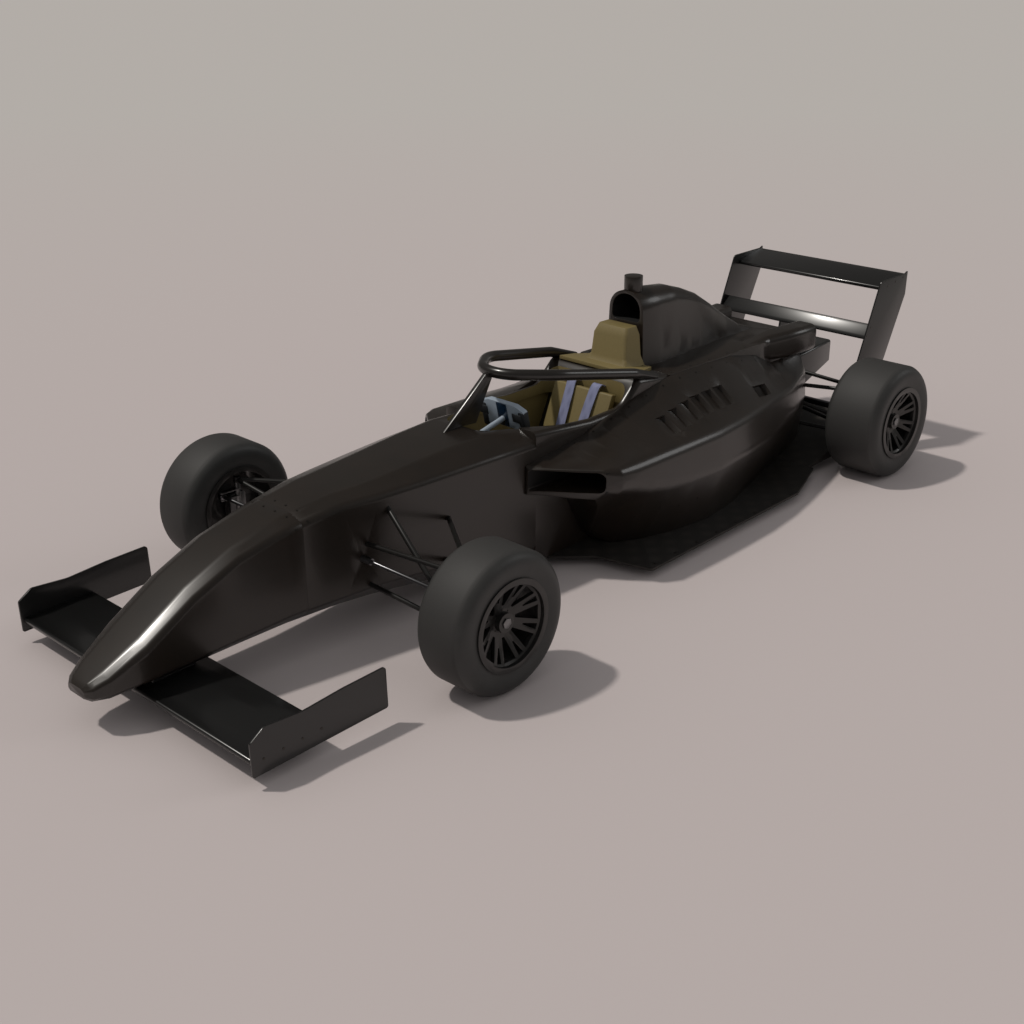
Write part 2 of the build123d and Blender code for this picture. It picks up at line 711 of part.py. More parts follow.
def pod_louvres():
    """Cutters for the louvres in the pod's sloping top, each a pocket that deepens to the rear."""
    cutters = []
    # Columns: y, distance across from the tub's side along the slope, width across, length
    pockets = [(LOUVRE_START_Y + index * LOUVRE_STEP, 205 - 4 * index, 112, LOUVRE_LENGTH)
               for index in range(LOUVRES)]
    pockets.append((REAR_VENT_Y, 208, 62, REAR_VENT_LENGTH))
    for y, across, width, length in pockets:
        row = between(POD_ROWS, y)
        run = row[5] - POD_INNER_X
        drop = row[7] - row[6]
        slope = math.atan2(drop, run)
        x = POD_INNER_X + across * math.cos(slope)
        z = row[7] - across * math.sin(slope)
        plane = Plane(origin=(x, y, z), x_dir=(math.cos(slope), 0, -math.sin(slope)),
                      z_dir=(math.sin(slope), 0, math.cos(slope)))
        cutter = Pos(0, length / 2, LOUVRE_LIFT / 2) * Box(width, length, LOUVRE_LIFT)
        cutters.append(plane * (Pos(0, -length / 2, 0) * Rot(-LOUVRE_PITCH, 0, 0) * cutter))
    return cutters


def sidepod():
    """Left sidepod: a rounded, undercut body with its inlet, louvres and rear vent."""
    sections = []
    for y, bz, bx, wx, wz, sx, sz, tz, rounding in POD_ROWS:
        corners = [(POD_INNER_X, bz), (bx, bz), (wx, wz), (sx, sz), (POD_INNER_X, tz)]
        sections.append(car_ring(y, corners, [r * rounding for r in POD_RADII]))
    pod = loft(sections, ruled=True)
    pod -= block(200, 800, 700, 2900, -200, BODY_BASE_Z)
    inlet_x = POD_INNER_X + 14
    mouth = car_ring(INLET_START_Y, [(inlet_x, INLET_LOW_Z), (INLET_OUTER_X, INLET_LOW_Z),
                                     (INLET_OUTER_X, INLET_HIGH_Z), (inlet_x, INLET_HIGH_Z)],
                     [10, INLET_R, INLET_R, 10])
    pod -= extrude(mouth, amount=INLET_END_Y - INLET_START_Y, dir=(0, 1, 0))
    for cutter in pod_louvres():
        pod -= cutter
    return largest(pod)


def floor_plate():
    """The flat floor with the plank under it."""
    plate = plan_plate(symmetric_plan([
        (278, FLOOR_FRONT_Y, 40), (420, 1050, 60), (FLOOR_HALF, 1110, 10),
        (647, 2286, 40), (520, FLOOR_SPLIT_Y, 0)]), FLOOR_BOTTOM_Z, FLOOR_TOP_Z)
    plank = plan_plate(symmetric_plan([(PLANK_HALF, FLOOR_FRONT_Y + 40, 30), (PLANK_HALF, FLOOR_SPLIT_Y, 0)]),
                       FLOOR_BOTTOM_Z - PLANK_T, FLOOR_BOTTOM_Z)
    return plate + plank


def diffuser():
    """The rising rear of the floor between the rear wheels, with side fences."""
    start = FLOOR_SPLIT_Y + SEAM
    ramp = side_plate([
        (start, FLOOR_BOTTOM_Z, 0), (3250, 160, 0), (3250, 160 + FLOOR_T, 0), (start, FLOOR_TOP_Z, 0),
    ], -DIFFUSER_HALF, DIFFUSER_HALF)
    for x in (-DIFFUSER_HALF, -200, 190, DIFFUSER_HALF - 10):
        ramp += side_plate([
            (start, FLOOR_BOTTOM_Z, 0), (3250, FLOOR_BOTTOM_Z + 20, 0), (3250, 168, 0),
            (start, FLOOR_TOP_Z - 2, 0)], x, x + 10)
    return ramp


def front_wing(nose):
    """The plain front wing plane and the two struts under the nose."""
    half = FRONT_WING_HALF - ENDPLATE_T - SEAM
    wing = extrude(wing_section(-1022, 94, -715, 112, FRONT_WING_T, -half), amount=2 * half, dir=(1, 0, 0))
    for x in (-68, 56):
        strut = side_plate([(-960, 98, 4), (-780, 104, 4), (-760, 220, 4), (-930, 220, 4)], x, x + 12)
        wing += strut - nose
    return wing


def front_endplate():
    """Left front wing endplate."""
    return side_plate([
        (-1028, 47, 8), (-444, 65, 10), (-450, 229, 14), (-640, 222, 200), (-815, 207, 200),
        (-972, 218, 30), (-1031, 178, 14)], FRONT_WING_HALF - ENDPLATE_T, FRONT_WING_HALF)


def rear_wing_plane():
    """The upper rear wing between the endplates."""
    half = REAR_WING_HALF - ENDPLATE_T - SEAM
    return extrude(wing_section(3266, 842, 3478, 890, REAR_WING_T, -half), amount=2 * half, dir=(1, 0, 0))


def beam_wing():
    """The steep lower rear wing between the endplates."""
    half = REAR_WING_HALF - ENDPLATE_T - SEAM
    return extrude(wing_section(3122, 606, 3174, 676, BEAM_WING_T, -half), amount=2 * half, dir=(1, 0, 0))


def wing_pylons(crash, beam):
    """Two struts from the crash structure's top up to the beam wing."""
    both = []
    for x in (-PYLON_X - PYLON_T / 2, PYLON_X - PYLON_T / 2):
        strut = side_plate([
            (3100, 440, 0), (3190, 440, 0), (3215, 640, 0), (3128, 640, 0)], x, x + PYLON_T)
        both.append(largest(strut - crash - beam))
    return Compound(children=both)


def rear_endplate():
    """Left rear wing endplate, raked back, with a spike at its top corner."""
    return side_plate([
        (3040, 440, 10), (3320, 440, 10), (3489, 781, 8), (TAIL_Y, 902, 0), (3470, 893, 6),
        (3226, 890, 20)], REAR_WING_HALF - ENDPLATE_T, REAR_WING_HALF)


def halo(tub):
    """Cockpit halo: a front pylon and one tube that goes round both sides of the opening."""
    points = [(-240, 1640, 690), (-250, 1480, 745), (-200, 1000, 835), (0, 760, 848),
              (200, 1000, 835), (250, 1480, 745), (240, 1640, 690)]
    path = FilletPolyline(*points, radius=[80, 260, 140, 260, 80])
    start = Plane(origin=path @ 0, z_dir=path % 0)
    hoop = sweep(start * Circle(HALO_TUBE_R), path=path)
    return largest(hoop - tub)


def halo_pylon(tub, hoop):
    """The halo's front pylon, a fin that widens to its base."""
    fin = side_plate([(520, 630, 0), (720, 630, 0), (838, 846, 10), (790, 846, 10)], -9, 9)
    return largest(fin - tub - hoop)


def tub_top_z(y):
    """The height of the tub's top behind the driver."""
    return 718 + (y - 1500) * (690 - 718) / (TUB_END_Y - 1500)


def head_surround():
    """The padded head surround: a flat horseshoe on the tub's top with the tall headrest block."""
    y0 = SEATBACK_Y + 14
    y1 = TUB_END_Y - 4
    pad = side_plate([
        (y0, tub_top_z(y0) + SEAM, 0), (y1, tub_top_z(y1) + SEAM, 0),
        (y1, tub_top_z(y1) + PAD_T, 0), (y0, tub_top_z(y0) + PAD_T, 0)], -225, 225)
    plan = plan_plate(symmetric_plan([
        (205, y0 - 10, 0), (205, 1600, 40), (160, y1 + 10, 0)]), 600, 900)
    pad = pad & plan
    # Columns: z, half width, front y, rear y
    rows = [(712, 128, 1572, 1712), (752, 104, 1592, 1712), (850, 98, 1602, 1706), (890, 84, 1622, 1698)]
    sections = []
    for z, half, front, rear in rows:
        outline = [Vector(x, y, z) for x, y in ((-half, front), (half, front), (half, rear), (-half, rear))]
        sections.append(Face(FilletPolyline(*outline, radius=[16, 16, 6, 6], close=True).wire()))
    return pad + loft(sections, ruled=True)


def seat():
    """The driver's moulded seat, lying back on the tub's floor and rear wall."""
    base = BODY_BASE_Z + TUB_WALL + SEAM
    return side_plate([
        (930, base, 0), (1236, base, 70), (1460, 632, 0), (1428, 640, 10),
        (1212, base + 44, 90), (930, base + 30, 10)], -172, 172)


def camera_pod():
    """The round camera mount that stands on the spine behind the intake's arch."""
    foot = SPINE_TOP_Z - 40
    post = Pos(0, POD_Y, foot) * Cylinder(POD_R, POD_TOP_Z - foot,
                                          align=(Align.CENTER, Align.CENTER, Align.MIN))
    return largest(post - spine(SEAM))


nodes = {}
body = front_body()
tub = monocoque(body)
nodes["monocoque"] = tub
nodes["nose_cone"] = body & block(-400, 400, -1400, NOSE_SPLIT_Y - SEAM, 0, 900)
nodes["front_wing"] = front_wing(nodes["nose_cone"])
nodes["front_endplate_left"] = front_endplate()
nodes["front_endplate_right"] = right_of(front_endplate())
solid_tub = (body & block(-400, 400, NOSE_SPLIT_Y, TUB_STRAIGHT_Y, 0, 900)) + tub_rear()
nodes["front_arms_left"] = front_arms(solid_tub)
nodes["front_arms_right"] = right_of(nodes["front_arms_left"])
nodes["steering_rack"] = steering_rack()
nodes["steering_wheel"] = steering_wheel()
for place, c in (("front", FRONT), ("rear", REAR)):
    left_tyre = tyre(c)
    left_rim = rim(c)
    left_upright = front_upright() if place == "front" else rear_upright()
    nodes["tyre_" + place + "_left"] = left_tyre
    nodes["tyre_" + place + "_right"] = turned_to_right(left_tyre, c.y)
    nodes["rim_" + place + "_left"] = left_rim
    nodes["rim_" + place + "_right"] = turned_to_right(left_rim, c.y)
    nodes["upright_" + place + "_left"] = left_upright
    nodes["upright_" + place + "_right"] = right_of(left_upright)
case = gearbox()
nodes["gearbox"] = case
nodes["rear_arms_left"] = rear_arms()
nodes["rear_arms_right"] = right_of(nodes["rear_arms_left"])
nodes["engine_block"] = block(-ENGINE_W / 2, ENGINE_W / 2, TUB_END_Y + SEAM, GEARBOX_START_Y - SEAM,
                              BODY_BASE_Z + 8, BODY_BASE_Z + 8 + ENGINE_H)
nodes["crash_structure"] = crash_structure()
nodes["engine_cover"] = engine_cover()
nodes["sidepod_left"] = sidepod()
nodes["sidepod_right"] = right_of(nodes["sidepod_left"])
nodes["floor"] = floor_plate()
nodes["diffuser"] = diffuser()
nodes["rear_wing_plane"] = rear_wing_plane()
nodes["beam_wing"] = beam_wing()
nodes["wing_pylons"] = wing_pylons(nodes["crash_structure"], nodes["beam_wing"])
nodes["rear_endplate_left"] = rear_endplate()
nodes["rear_endplate_right"] = right_of(rear_endplate())
nodes["halo"] = halo(solid_tub)
nodes["head_surround"] = head_surround()
nodes["seat"] = seat()
nodes["camera_pod"] = camera_pod()
nodes["driveshaft_left"] = driveshaft()
nodes["driveshaft_right"] = right_of(driveshaft())
nodes["halo_pylon"] = halo_pylon(solid_tub, nodes["halo"])

os.makedirs("parts", exist_ok=True)
for name, solid in nodes.items():
    export_step(Pos(0, -ROW_ORIGIN_Y, 0) * solid, "parts/" + name + ".step")
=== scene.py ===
"""Finishes, cockpit trim and studio for an open wheel single seat racing car.

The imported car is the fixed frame. Each sub-assembly is a class that dresses its own nodes and
builds the trim that rides on them. Sizes are metres, X to the car's left, Y to the tail, Z up.
"""

import json
import logging
import math
from dataclasses import dataclass, field
from enum import Enum
from functools import cache
from typing import Any, Callable, Optional

import bmesh
import bpy
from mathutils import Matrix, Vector
from mathutils.bvhtree import BVHTree

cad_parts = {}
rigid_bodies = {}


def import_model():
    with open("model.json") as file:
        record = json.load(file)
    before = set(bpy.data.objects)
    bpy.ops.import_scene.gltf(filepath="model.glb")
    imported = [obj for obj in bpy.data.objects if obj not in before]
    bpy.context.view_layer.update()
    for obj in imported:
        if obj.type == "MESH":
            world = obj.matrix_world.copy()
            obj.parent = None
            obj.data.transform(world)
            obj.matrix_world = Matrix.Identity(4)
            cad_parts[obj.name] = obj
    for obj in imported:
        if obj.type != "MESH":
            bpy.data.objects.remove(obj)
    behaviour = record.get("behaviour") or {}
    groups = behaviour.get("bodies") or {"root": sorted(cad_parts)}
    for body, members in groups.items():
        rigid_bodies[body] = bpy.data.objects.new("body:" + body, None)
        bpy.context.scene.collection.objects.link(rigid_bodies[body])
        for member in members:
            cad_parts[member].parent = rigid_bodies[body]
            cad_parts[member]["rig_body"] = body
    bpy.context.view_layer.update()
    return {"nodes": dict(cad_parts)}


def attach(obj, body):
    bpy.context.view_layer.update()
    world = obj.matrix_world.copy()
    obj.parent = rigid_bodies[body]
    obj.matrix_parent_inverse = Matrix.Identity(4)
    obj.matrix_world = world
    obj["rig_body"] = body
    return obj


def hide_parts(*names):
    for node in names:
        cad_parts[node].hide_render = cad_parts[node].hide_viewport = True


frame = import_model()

MM = 0.001
log = logging.getLogger("racing_car")
Triple = tuple[float, float, float]
FaceTest = Callable[[Vector, Vector], bool]

# Edges flatter than these stay smooth, and only sharper ones are rounded, in degrees
SHELL_SMOOTH = 42.0
ROUND_SMOOTH = 40.0
SMALL_SMOOTH = 35.0
BLOCK_EDGE = 30.0
RIM_EDGE = 28.0
# Neighbouring faces within this angle count as one flat face
FLAT_DEG = 0.4
# Points nearer than this are one point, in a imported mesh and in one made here, in metres
PACKED_POINT = 2e-5
SAME_POINT = 1e-6

# A wave texture passes this many radians in one unit at a scale of one
WAVE_RADIANS = 20.0

# The axles' places along the car
FRONT_AXLE_Y = -1.139
REAR_AXLE_Y = 1.786

# How far outside a wheel the rays start that set its studs down
RAY_ROOM = 0.1
# A knob narrows from this share of its height to this share of its radius
KNOB_WAIST = 0.8
KNOB_TOP = 0.84


class Side(Enum):
    """The car's two sides, with the sign of X there."""

    LEFT = 1
    RIGHT = -1

    @property
    def word(self) -> str:
        """The side's word in a node's name."""
        return self.name.lower()


class Pattern(Enum):
    """What a finish shows close up."""

    PLAIN = "plain"
    TWILL = "twill"
    SPECKLE = "speckle"
    GRAIN = "grain"


def linear(hex_colour: str) -> tuple[float, float, float, float]:
    """Turn an sRGB hex colour to linear.

    Args:
        hex_colour: six hex digits.

    Returns:
        Linear red, green, blue and an alpha of one.
    """
    parts = [int(hex_colour[i : i + 2], 16) / 255 for i in (0, 2, 4)]
    bent = [p / 12.92 if p <= 0.04045 else ((p + 0.055) / 1.055) ** 2.4 for p in parts]
    return (bent[0], bent[1], bent[2], 1.0)


def add_node(
    tree: bpy.types.NodeTree,
    kind: str,
    settings: Optional[dict[str, Any]] = None,
    values: Optional[dict[Any, Any]] = None,
    links: Optional[dict[Any, bpy.types.NodeSocket]] = None,
) -> bpy.types.Node:
    """Add one node with its settings, socket values and incoming links.

    Args:
        tree: the shader or geometry tree.
        kind: the node's type name.
        settings: properties of the node itself.
        values: default values by socket name or index.
        links: sources by the input socket's name or index.

    Returns:
        The new node.
    """
    node = tree.nodes.new(kind)
    for name, value in (settings or {}).items():
        setattr(node, name, value)
    for socket, value in (values or {}).items():
        node.inputs[socket].default_value = value
    for socket, source in (links or {}).items():
        tree.links.new(source, node.inputs[socket])
    return node


@dataclass(frozen=True)
class Finish:
    """A real surface: its colour, how it was made and what that gives the eye.

    One full wave of a twill is two pi times pattern_mm; a speckle or grain is about pattern_mm.
    """

    name: str
    colour: str
    roughness: float
    metallic: float = 0.0
    ior: float = 1.5
    coat: float = 0.0
    coat_roughness: float = 0.05
    pattern: Pattern = Pattern.PLAIN
    pattern_mm: float = 4.0
    second_colour: str = ""
    bump_mm: float = 0.0

    def build(self) -> bpy.types.Material:
        """Make the material once and hand back the same one afterwards."""
        known = bpy.data.materials.get(self.name)
        if known:
            return known
        material = bpy.data.materials.new(self.name)
        material.use_nodes = True
        tree = material.node_tree
        tree.nodes.clear()
        shader = add_node(
            tree,
            "ShaderNodeBsdfPrincipled",
            values={
                "Base Color": linear(self.colour),
                "Roughness": self.roughness,
                "Metallic": self.metallic,
                "IOR": self.ior,
                "Coat Weight": self.coat,
                "Coat Roughness": self.coat_roughness,
            },
        )
        add_node(tree, "ShaderNodeOutputMaterial", links={"Surface": shader.outputs[0]})
        if self.pattern is not Pattern.PLAIN:
            self._dress(tree, shader)
        return material

    def _dress(self, tree: bpy.types.NodeTree, shader: bpy.types.Node) -> None:
        """Add the pattern's colour and height to the shader.

        Args:
            tree: the material's tree.
            shader: its Principled node.
        """
        place = add_node(tree, "ShaderNodeTexCoord")
        height = self._height(tree, place.outputs["Object"])
        if self.second_colour:
            mix = add_node(
                tree,
                "ShaderNodeMix",
                settings={"data_type": "RGBA"},
                values={6: linear(self.colour), 7: linear(self.second_colour)},
                links={0: height},
            )
            tree.links.new(mix.outputs[2], shader.inputs["Base Color"])
        if self.bump_mm:
            bump = add_node(
                tree,
                "ShaderNodeBump",
                values={"Strength": 1.0, "Distance": self.bump_mm * MM},
                links={"Height": height},
            )
            tree.links.new(bump.outputs[0], shader.inputs["Normal"])

    def _height(
        self, tree: bpy.types.NodeTree, place: bpy.types.NodeSocket
    ) -> bpy.types.NodeSocket:
        """Make the pattern's 0 to 1 height field.

        Args:
            tree: the material's tree.
            place: object coordinates in metres.

        Returns:
            The socket that carries the height.
        """
        per_metre = 1 / (self.pattern_mm * MM)
        noises = {
            Pattern.SPECKLE: {"Detail": 3.0, "Roughness": 0.6},
            Pattern.GRAIN: {"Detail": 2.0, "Distortion": 0.4},
        }
        if self.pattern in noises:
            noise = add_node(
                tree,
                "ShaderNodeTexNoise",
                values={"Scale": per_metre, **noises[self.pattern]},
                links={"Vector": place},
            )
            return noise.outputs[0]
        turned = add_node(
            tree,
            "ShaderNodeMapping",
            values={"Rotation": (0.0, 0.0, math.radians(45.0))},
            links={"Vector": place},
        )
        waves = [
            add_node(
                tree,
                "ShaderNodeTexWave",
                settings={"bands_direction": way, "wave_profile": "SIN"},
                values={"Scale": per_metre / WAVE_RADIANS},
                links={"Vector": turned.outputs[0]},
            )
            for way in ("X", "Y")
        ]
        both = add_node(
            tree,
            "ShaderNodeMath",
            settings={"operation": "MULTIPLY"},
            links={k: wave.outputs[1] for k, wave in enumerate(waves)},
        )
        return both.outputs[0]


# Clear coated carbon laminate, hand laid and polished: near black, a warm sheen and soft flow marks
BODY_CARBON = Finish(
    "clear_coated_carbon", "17130f", 0.36, ior=1.5, coat=0.45, coat_roughness=0.18,
    pattern=Pattern.SPECKLE, pattern_mm=160, second_colour="231b15",
)
# Moulded carbon wing skin, cured against a smooth tool: neutral black with a tighter gloss
WING_CARBON = Finish(
    "moulded_carbon_skin", "141414", 0.3, ior=1.55, coat=0.4, coat_roughness=0.12,
)
# Bare carbon floor, peel ply side out: flat brownish black. The twill's waves are drawn 88 mm long,
# far coarser than real cloth, so that they show from afar
FLOOR_CARBON = Finish(
    "peel_ply_carbon", "211e1b", 0.62, pattern=Pattern.TWILL, pattern_mm=14,
    second_colour="2b2723",
)
# Aramid and foam composite, hand laid: khaki with a faint fibre mottle
ARAMID = Finish(
    "aramid_laminate", "77693f", 0.62, pattern=Pattern.SPECKLE, pattern_mm=9,
    second_colour="695c36", bump_mm=0.15,
)
# Titanium tube under satin black paint: smooth with a broad highlight
HALO_PAINT = Finish("satin_painted_titanium", "201d1b", 0.3, coat=0.35, coat_roughness=0.2)
# Steel legs in carbon shrouds, painted satin black
LEG_PAINT = Finish("satin_painted_steel", "181716", 0.38, coat=0.2, coat_roughness=0.25)
# Slick compound, scrubbed by the road: dark grey with a dull, dusty sheen
TREAD_RUBBER = Finish(
    "scrubbed_slick_rubber", "2b2a29", 0.66, pattern=Pattern.SPECKLE, pattern_mm=5,
    second_colour="343332", bump_mm=0.12,
)
# Moulded side wall rubber: smoother than the tread, with a grey bloom
WALL_RUBBER = Finish(
    "moulded_side_wall_rubber", "2a2a29", 0.5, pattern=Pattern.GRAIN, pattern_mm=60,
    second_colour="333332",
)
# Forged magnesium wheel in gunmetal lacquer: satin metal, soft highlights
GUNMETAL = Finish("gunmetal_lacquered_magnesium", "3d3c3b", 0.36, metallic=0.75, coat=0.3)
# Machined aluminium, bead blasted and anodised: light grey, fine grain
MACHINED = Finish(
    "blasted_aluminium", "8f8f90", 0.42, metallic=1.0, pattern=Pattern.SPECKLE, pattern_mm=2,
    bump_mm=0.03,
)
# Sand cast gearbox case: duller metal with a pebbled skin
CAST_CASE = Finish(
    "cast_magnesium_case", "5b5a58", 0.55, metallic=0.9, pattern=Pattern.SPECKLE, pattern_mm=3,
    bump_mm=0.2,
)
# Ground steel shafts and radiator fins: bright, with a narrow highlight
GROUND_STEEL = Finish("ground_steel", "77777a", 0.3, metallic=1.0)
# Titanium screw heads, blackened: small satin glints along the seams
SCREW = Finish("blackened_titanium_screw", "4a4845", 0.35, metallic=1.0)
# Laminated beech skid plank: flat brown with soft, cloudy grain
PLANK = Finish(
    "laminated_beech_plank", "6a4a30", 0.7, pattern=Pattern.GRAIN, pattern_mm=40,
    second_colour="5a3e28",
)
# Light grey moulded housing of the hand wheel, with a slight orange peel
GREY_SHELL = Finish(
    "moulded_grey_housing", "8e99a5", 0.42, pattern=Pattern.SPECKLE, pattern_mm=4, bump_mm=0.04,
)
# Silicone hand grips, dials and paddles: matt blue black
GRIP = Finish("silicone_grip", "23262b", 0.7)
# Dark display glass behind its bezel
DISPLAY = Finish("display_glass", "13263a", 0.1, coat=1.0)
# Woven harness webbing: blue grey, its ribs drawn far coarser than the threads, so that they show
WEBBING = Finish(
    "woven_webbing", "777b99", 0.75, pattern=Pattern.TWILL, pattern_mm=5, second_colour="676b87",
    bump_mm=0.25,
)
# Polished steel: the harness buckle and the top buttons, bright points in the dark cockpit
BUCKLE = Finish("bright_steel_buckle", "b9babb", 0.25, metallic=1.0)
# Red plastic of the rain light's ribs and the middle buttons: glossy
RAIN_LENS = Finish("red_ribbed_lens", "7a0f12", 0.25, coat=0.6)
# Painted shade: the duct walls of the inlets and the intake are lined matt near black to stand for
# the shade deep inside them
DUCT_SHADE = Finish("radiator_core", "141414", 0.6, metallic=0.4)


@dataclass
class Dressing:
    """How a rigid node is shown: a merged, softened copy of its own mesh."""

    node: str
    finish: Finish
    slot: str
    bevel_mm: float = 2.0
    smooth_deg: float = 32.0
    lining: Optional[Finish] = None
    lined: Optional[FaceTest] = None

    def build(self) -> None:
        """Copy the node's mesh, soften its edges and let it stand for the node."""
        source = frame["nodes"][self.node]
        mesh = source.data.copy()
        mesh.name = f"{self.node}_shown"
        merge_mesh(mesh)
        piece = add_piece(f"{self.node}_shown", mesh, self.finish)
        if self.bevel_mm:
            soften(piece, self.bevel_mm, self.smooth_deg)
        shade(piece, self.smooth_deg)
        if self.lining and self.lined:
            piece.data.materials.append(self.lining.build())
            for face in piece.data.polygons:
                face.material_index = int(self.lined(face.center, face.normal))
        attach(piece, source["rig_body"])
        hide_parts(self.node)
        log.info("%s dressed, %d faces", self.node, len(piece.data.polygons))


def merge_mesh(mesh: bpy.types.Mesh) -> None:
    """Join a mesh's doubled points and flat triangles.

    Args:
        mesh: the mesh to clean in place.
    """
    work = bmesh.new()
    work.from_mesh(mesh)
    bmesh.ops.remove_doubles(work, verts=work.verts, dist=PACKED_POINT)
    bmesh.ops.dissolve_limit(
        work, angle_limit=math.radians(FLAT_DEG), verts=work.verts, edges=work.edges
    )
    work.to_mesh(mesh)
    work.free()


def add_piece(name: str, mesh: bpy.types.Mesh, finish: Finish) -> bpy.types.Object:
    """Link a mesh as an object with one finish.

    Args:
        name: the piece's name.
        mesh: its mesh, in place.
        finish: what it is made of.

    Returns:
        The new object.
    """
    mesh.materials.clear()
    mesh.materials.append(finish.build())
    piece = bpy.data.objects.new(name, mesh)
    bpy.context.scene.collection.objects.link(piece)
    return piece


def soften(piece: bpy.types.Object, width_mm: float, angle_deg: float) -> None:
    """Round a piece's sharp edges and keep the result as plain mesh.

    Args:
        piece: the object.
        width_mm: the edge's width.
        angle_deg: edges sharper than this are rounded.
    """
    bevel = piece.modifiers.new("edge", "BEVEL")
    bevel.width = width_mm * MM
    bevel.segments = 2
    bevel.limit_method = "ANGLE"
    bevel.angle_limit = math.radians(angle_deg)
    apply_modifiers(piece)


def apply_modifiers(piece: bpy.types.Object) -> None:
    """Bake a piece's modifiers into its mesh.

    Args:
        piece: the object.
    """
    graph = bpy.context.evaluated_depsgraph_get()
    baked = bpy.data.meshes.new_from_object(piece.evaluated_get(graph))
    piece.modifiers.clear()
    old = piece.data
    piece.data = baked
    baked.name = old.name


def shade(piece: bpy.types.Object, angle_deg: float) -> None:
    """Shade smooth across edges flatter than an angle.

    Args:
        piece: the object.
        angle_deg: the angle.
    """
    piece.data.shade_smooth()
    piece.data.set_sharp_from_angle(angle=math.radians(angle_deg))


@dataclass
class Corner:
    """One wheel: a finely turned tyre over its rim."""

    end: str
    side: Side
    axle_y: float
    radius: float
    half_width: float
    middle_x: float
    flange_r: float = 0.181
    bead_r: float = 0.1654
    bead_inset: float = 0.0063
    bead_lip: float = 0.002
    shoulder: float = 0.042
    bulge: float = 0.007
    # The shoulder curve's middle point lies these shares of the bulge in and of the shoulder down
    bulge_share: float = 0.4
    shoulder_share: float = 0.28
    # The tread's finish reaches this share of the shoulder short of the wall
    tread_share: float = 0.7
    wall_steps: int = 7
    shoulder_steps: int = 9
    segments: int = 144
    stud_ring_r: float = 0.0435
    nut_inset: float = 0.0385
    nut_pin_r: float = 0.021
    nut_pin_t: float = 0.007

    def profile(self) -> list[tuple[float, float]]:
        """The tyre's half section as (distance from the middle, radius) points."""
        bead = self.half_width - self.bead_inset
        wall_r = (self.radius + self.flange_r) / 2
        foot_r = self.flange_r + self.bead_lip
        points = [(bead, self.bead_r), (bead, foot_r)]
        for k in range(1, self.wall_steps + 1):
            t = k / self.wall_steps
            swell = (self.half_width - bead) * math.sin(t * math.pi / 2)
            points.append((bead + swell, foot_r + (wall_r - foot_r) * t))
        low = (self.half_width, wall_r)
        corner = (
            self.half_width - self.bulge * self.bulge_share,
            self.radius - self.shoulder * self.shoulder_share,
        )
        tread = (self.half_width - self.shoulder, self.radius)
        for k in range(1, self.shoulder_steps + 1):
            t = k / self.shoulder_steps
            x, r = (
                (1 - t) ** 2 * a + 2 * t * (1 - t) * b + t * t * c
                for a, b, c in zip(low, corner, tread)
            )
            points.append((x, min(r, self.radius)))
        return points

    def build(self) -> None:
        """Turn the tyre, dress the rim and let both stand for their nodes."""
        corner = f"{self.end}_{self.side.word}"
        body = f"wheel_{corner}"
        half = self.profile()
        ring = half + [(-x, r) for x, r in reversed(half)]
        mesh = turned_mesh(
            f"tyre_{corner}_shown",
            [(self.middle_x * self.side.value + x, r) for x, r in ring],
            self.axle_y,
            self.axle_z,
            self.segments,
        )
        tyre = add_piece(mesh.name, mesh, WALL_RUBBER)
        mesh.materials.append(TREAD_RUBBER.build())
        edge = self.half_width - self.shoulder * self.tread_share
        for face in mesh.polygons:
            if abs(face.center.x - self.middle_x * self.side.value) < edge:
                face.material_index = 1
        shade(tyre, ROUND_SMOOTH)
        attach(tyre, body)
        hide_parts(f"tyre_{corner}")
        Dressing(f"rim_{corner}", GUNMETAL, "rim_metal", 1.2, RIM_EDGE).build()
        log.info("wheel %s turned, %d faces", corner, len(mesh.polygons))
        self.centre_lock(corner, body)

    def centre_lock(self, corner: str, body: str) -> None:
        """Set the studs round the nut and the pin in its middle.

        Args:
            corner: the wheel's end and side as one word.
            body: the body that the wheel turns with.
        """
        out = self.side.value
        outer_x = self.middle_x + self.half_width
        studs = Screws(
            f"rim_{corner}", "rim_metal", radius_mm=3, spacing_mm=30, height_mm=4, flats=6
        )
        studs.ring(
            (out * (outer_x + RAY_ROOM), self.axle_y, self.axle_z), self.stud_ring_r, (-out, 0, 0)
        )
        studs.build()
        add_knob(
            f"nut_pin_{corner}", body, MACHINED,
            Vector((out * (outer_x - self.nut_inset), self.axle_y, self.axle_z)),
            Vector((out, 0, 0)), self.nut_pin_r, self.nut_pin_t, flats=6,
        )

    @property
    def axle_z(self) -> float:
        """The axle's height, which is the tyre's radius."""
        return self.radius


def turned_mesh(
    name: str, ring: list[tuple[float, float]], y: float, z: float, segments: int
) -> bpy.types.Mesh:
    """Turn a closed (x, radius) ring about an axle along X.

    Args:
        name: the mesh's name.
        ring: the closed section.
        y: the axle's place along the car.
        z: the axle's height.
        segments: flats round the axle.

    Returns:
        A closed mesh with outward faces.
    """
    verts, faces = [], []
    count = len(ring)
    for k in range(segments):
        turn = 2 * math.pi * k / segments
        verts += [(x, y + r * math.sin(turn), z + r * math.cos(turn)) for x, r in ring]
    for k in range(segments):
        here, there = k * count, (k + 1) % segments * count
        for i in range(count):
            j = (i + 1) % count
            faces.append((here + i, here + j, there + j, there + i))
    return closed_mesh(name, verts, faces)


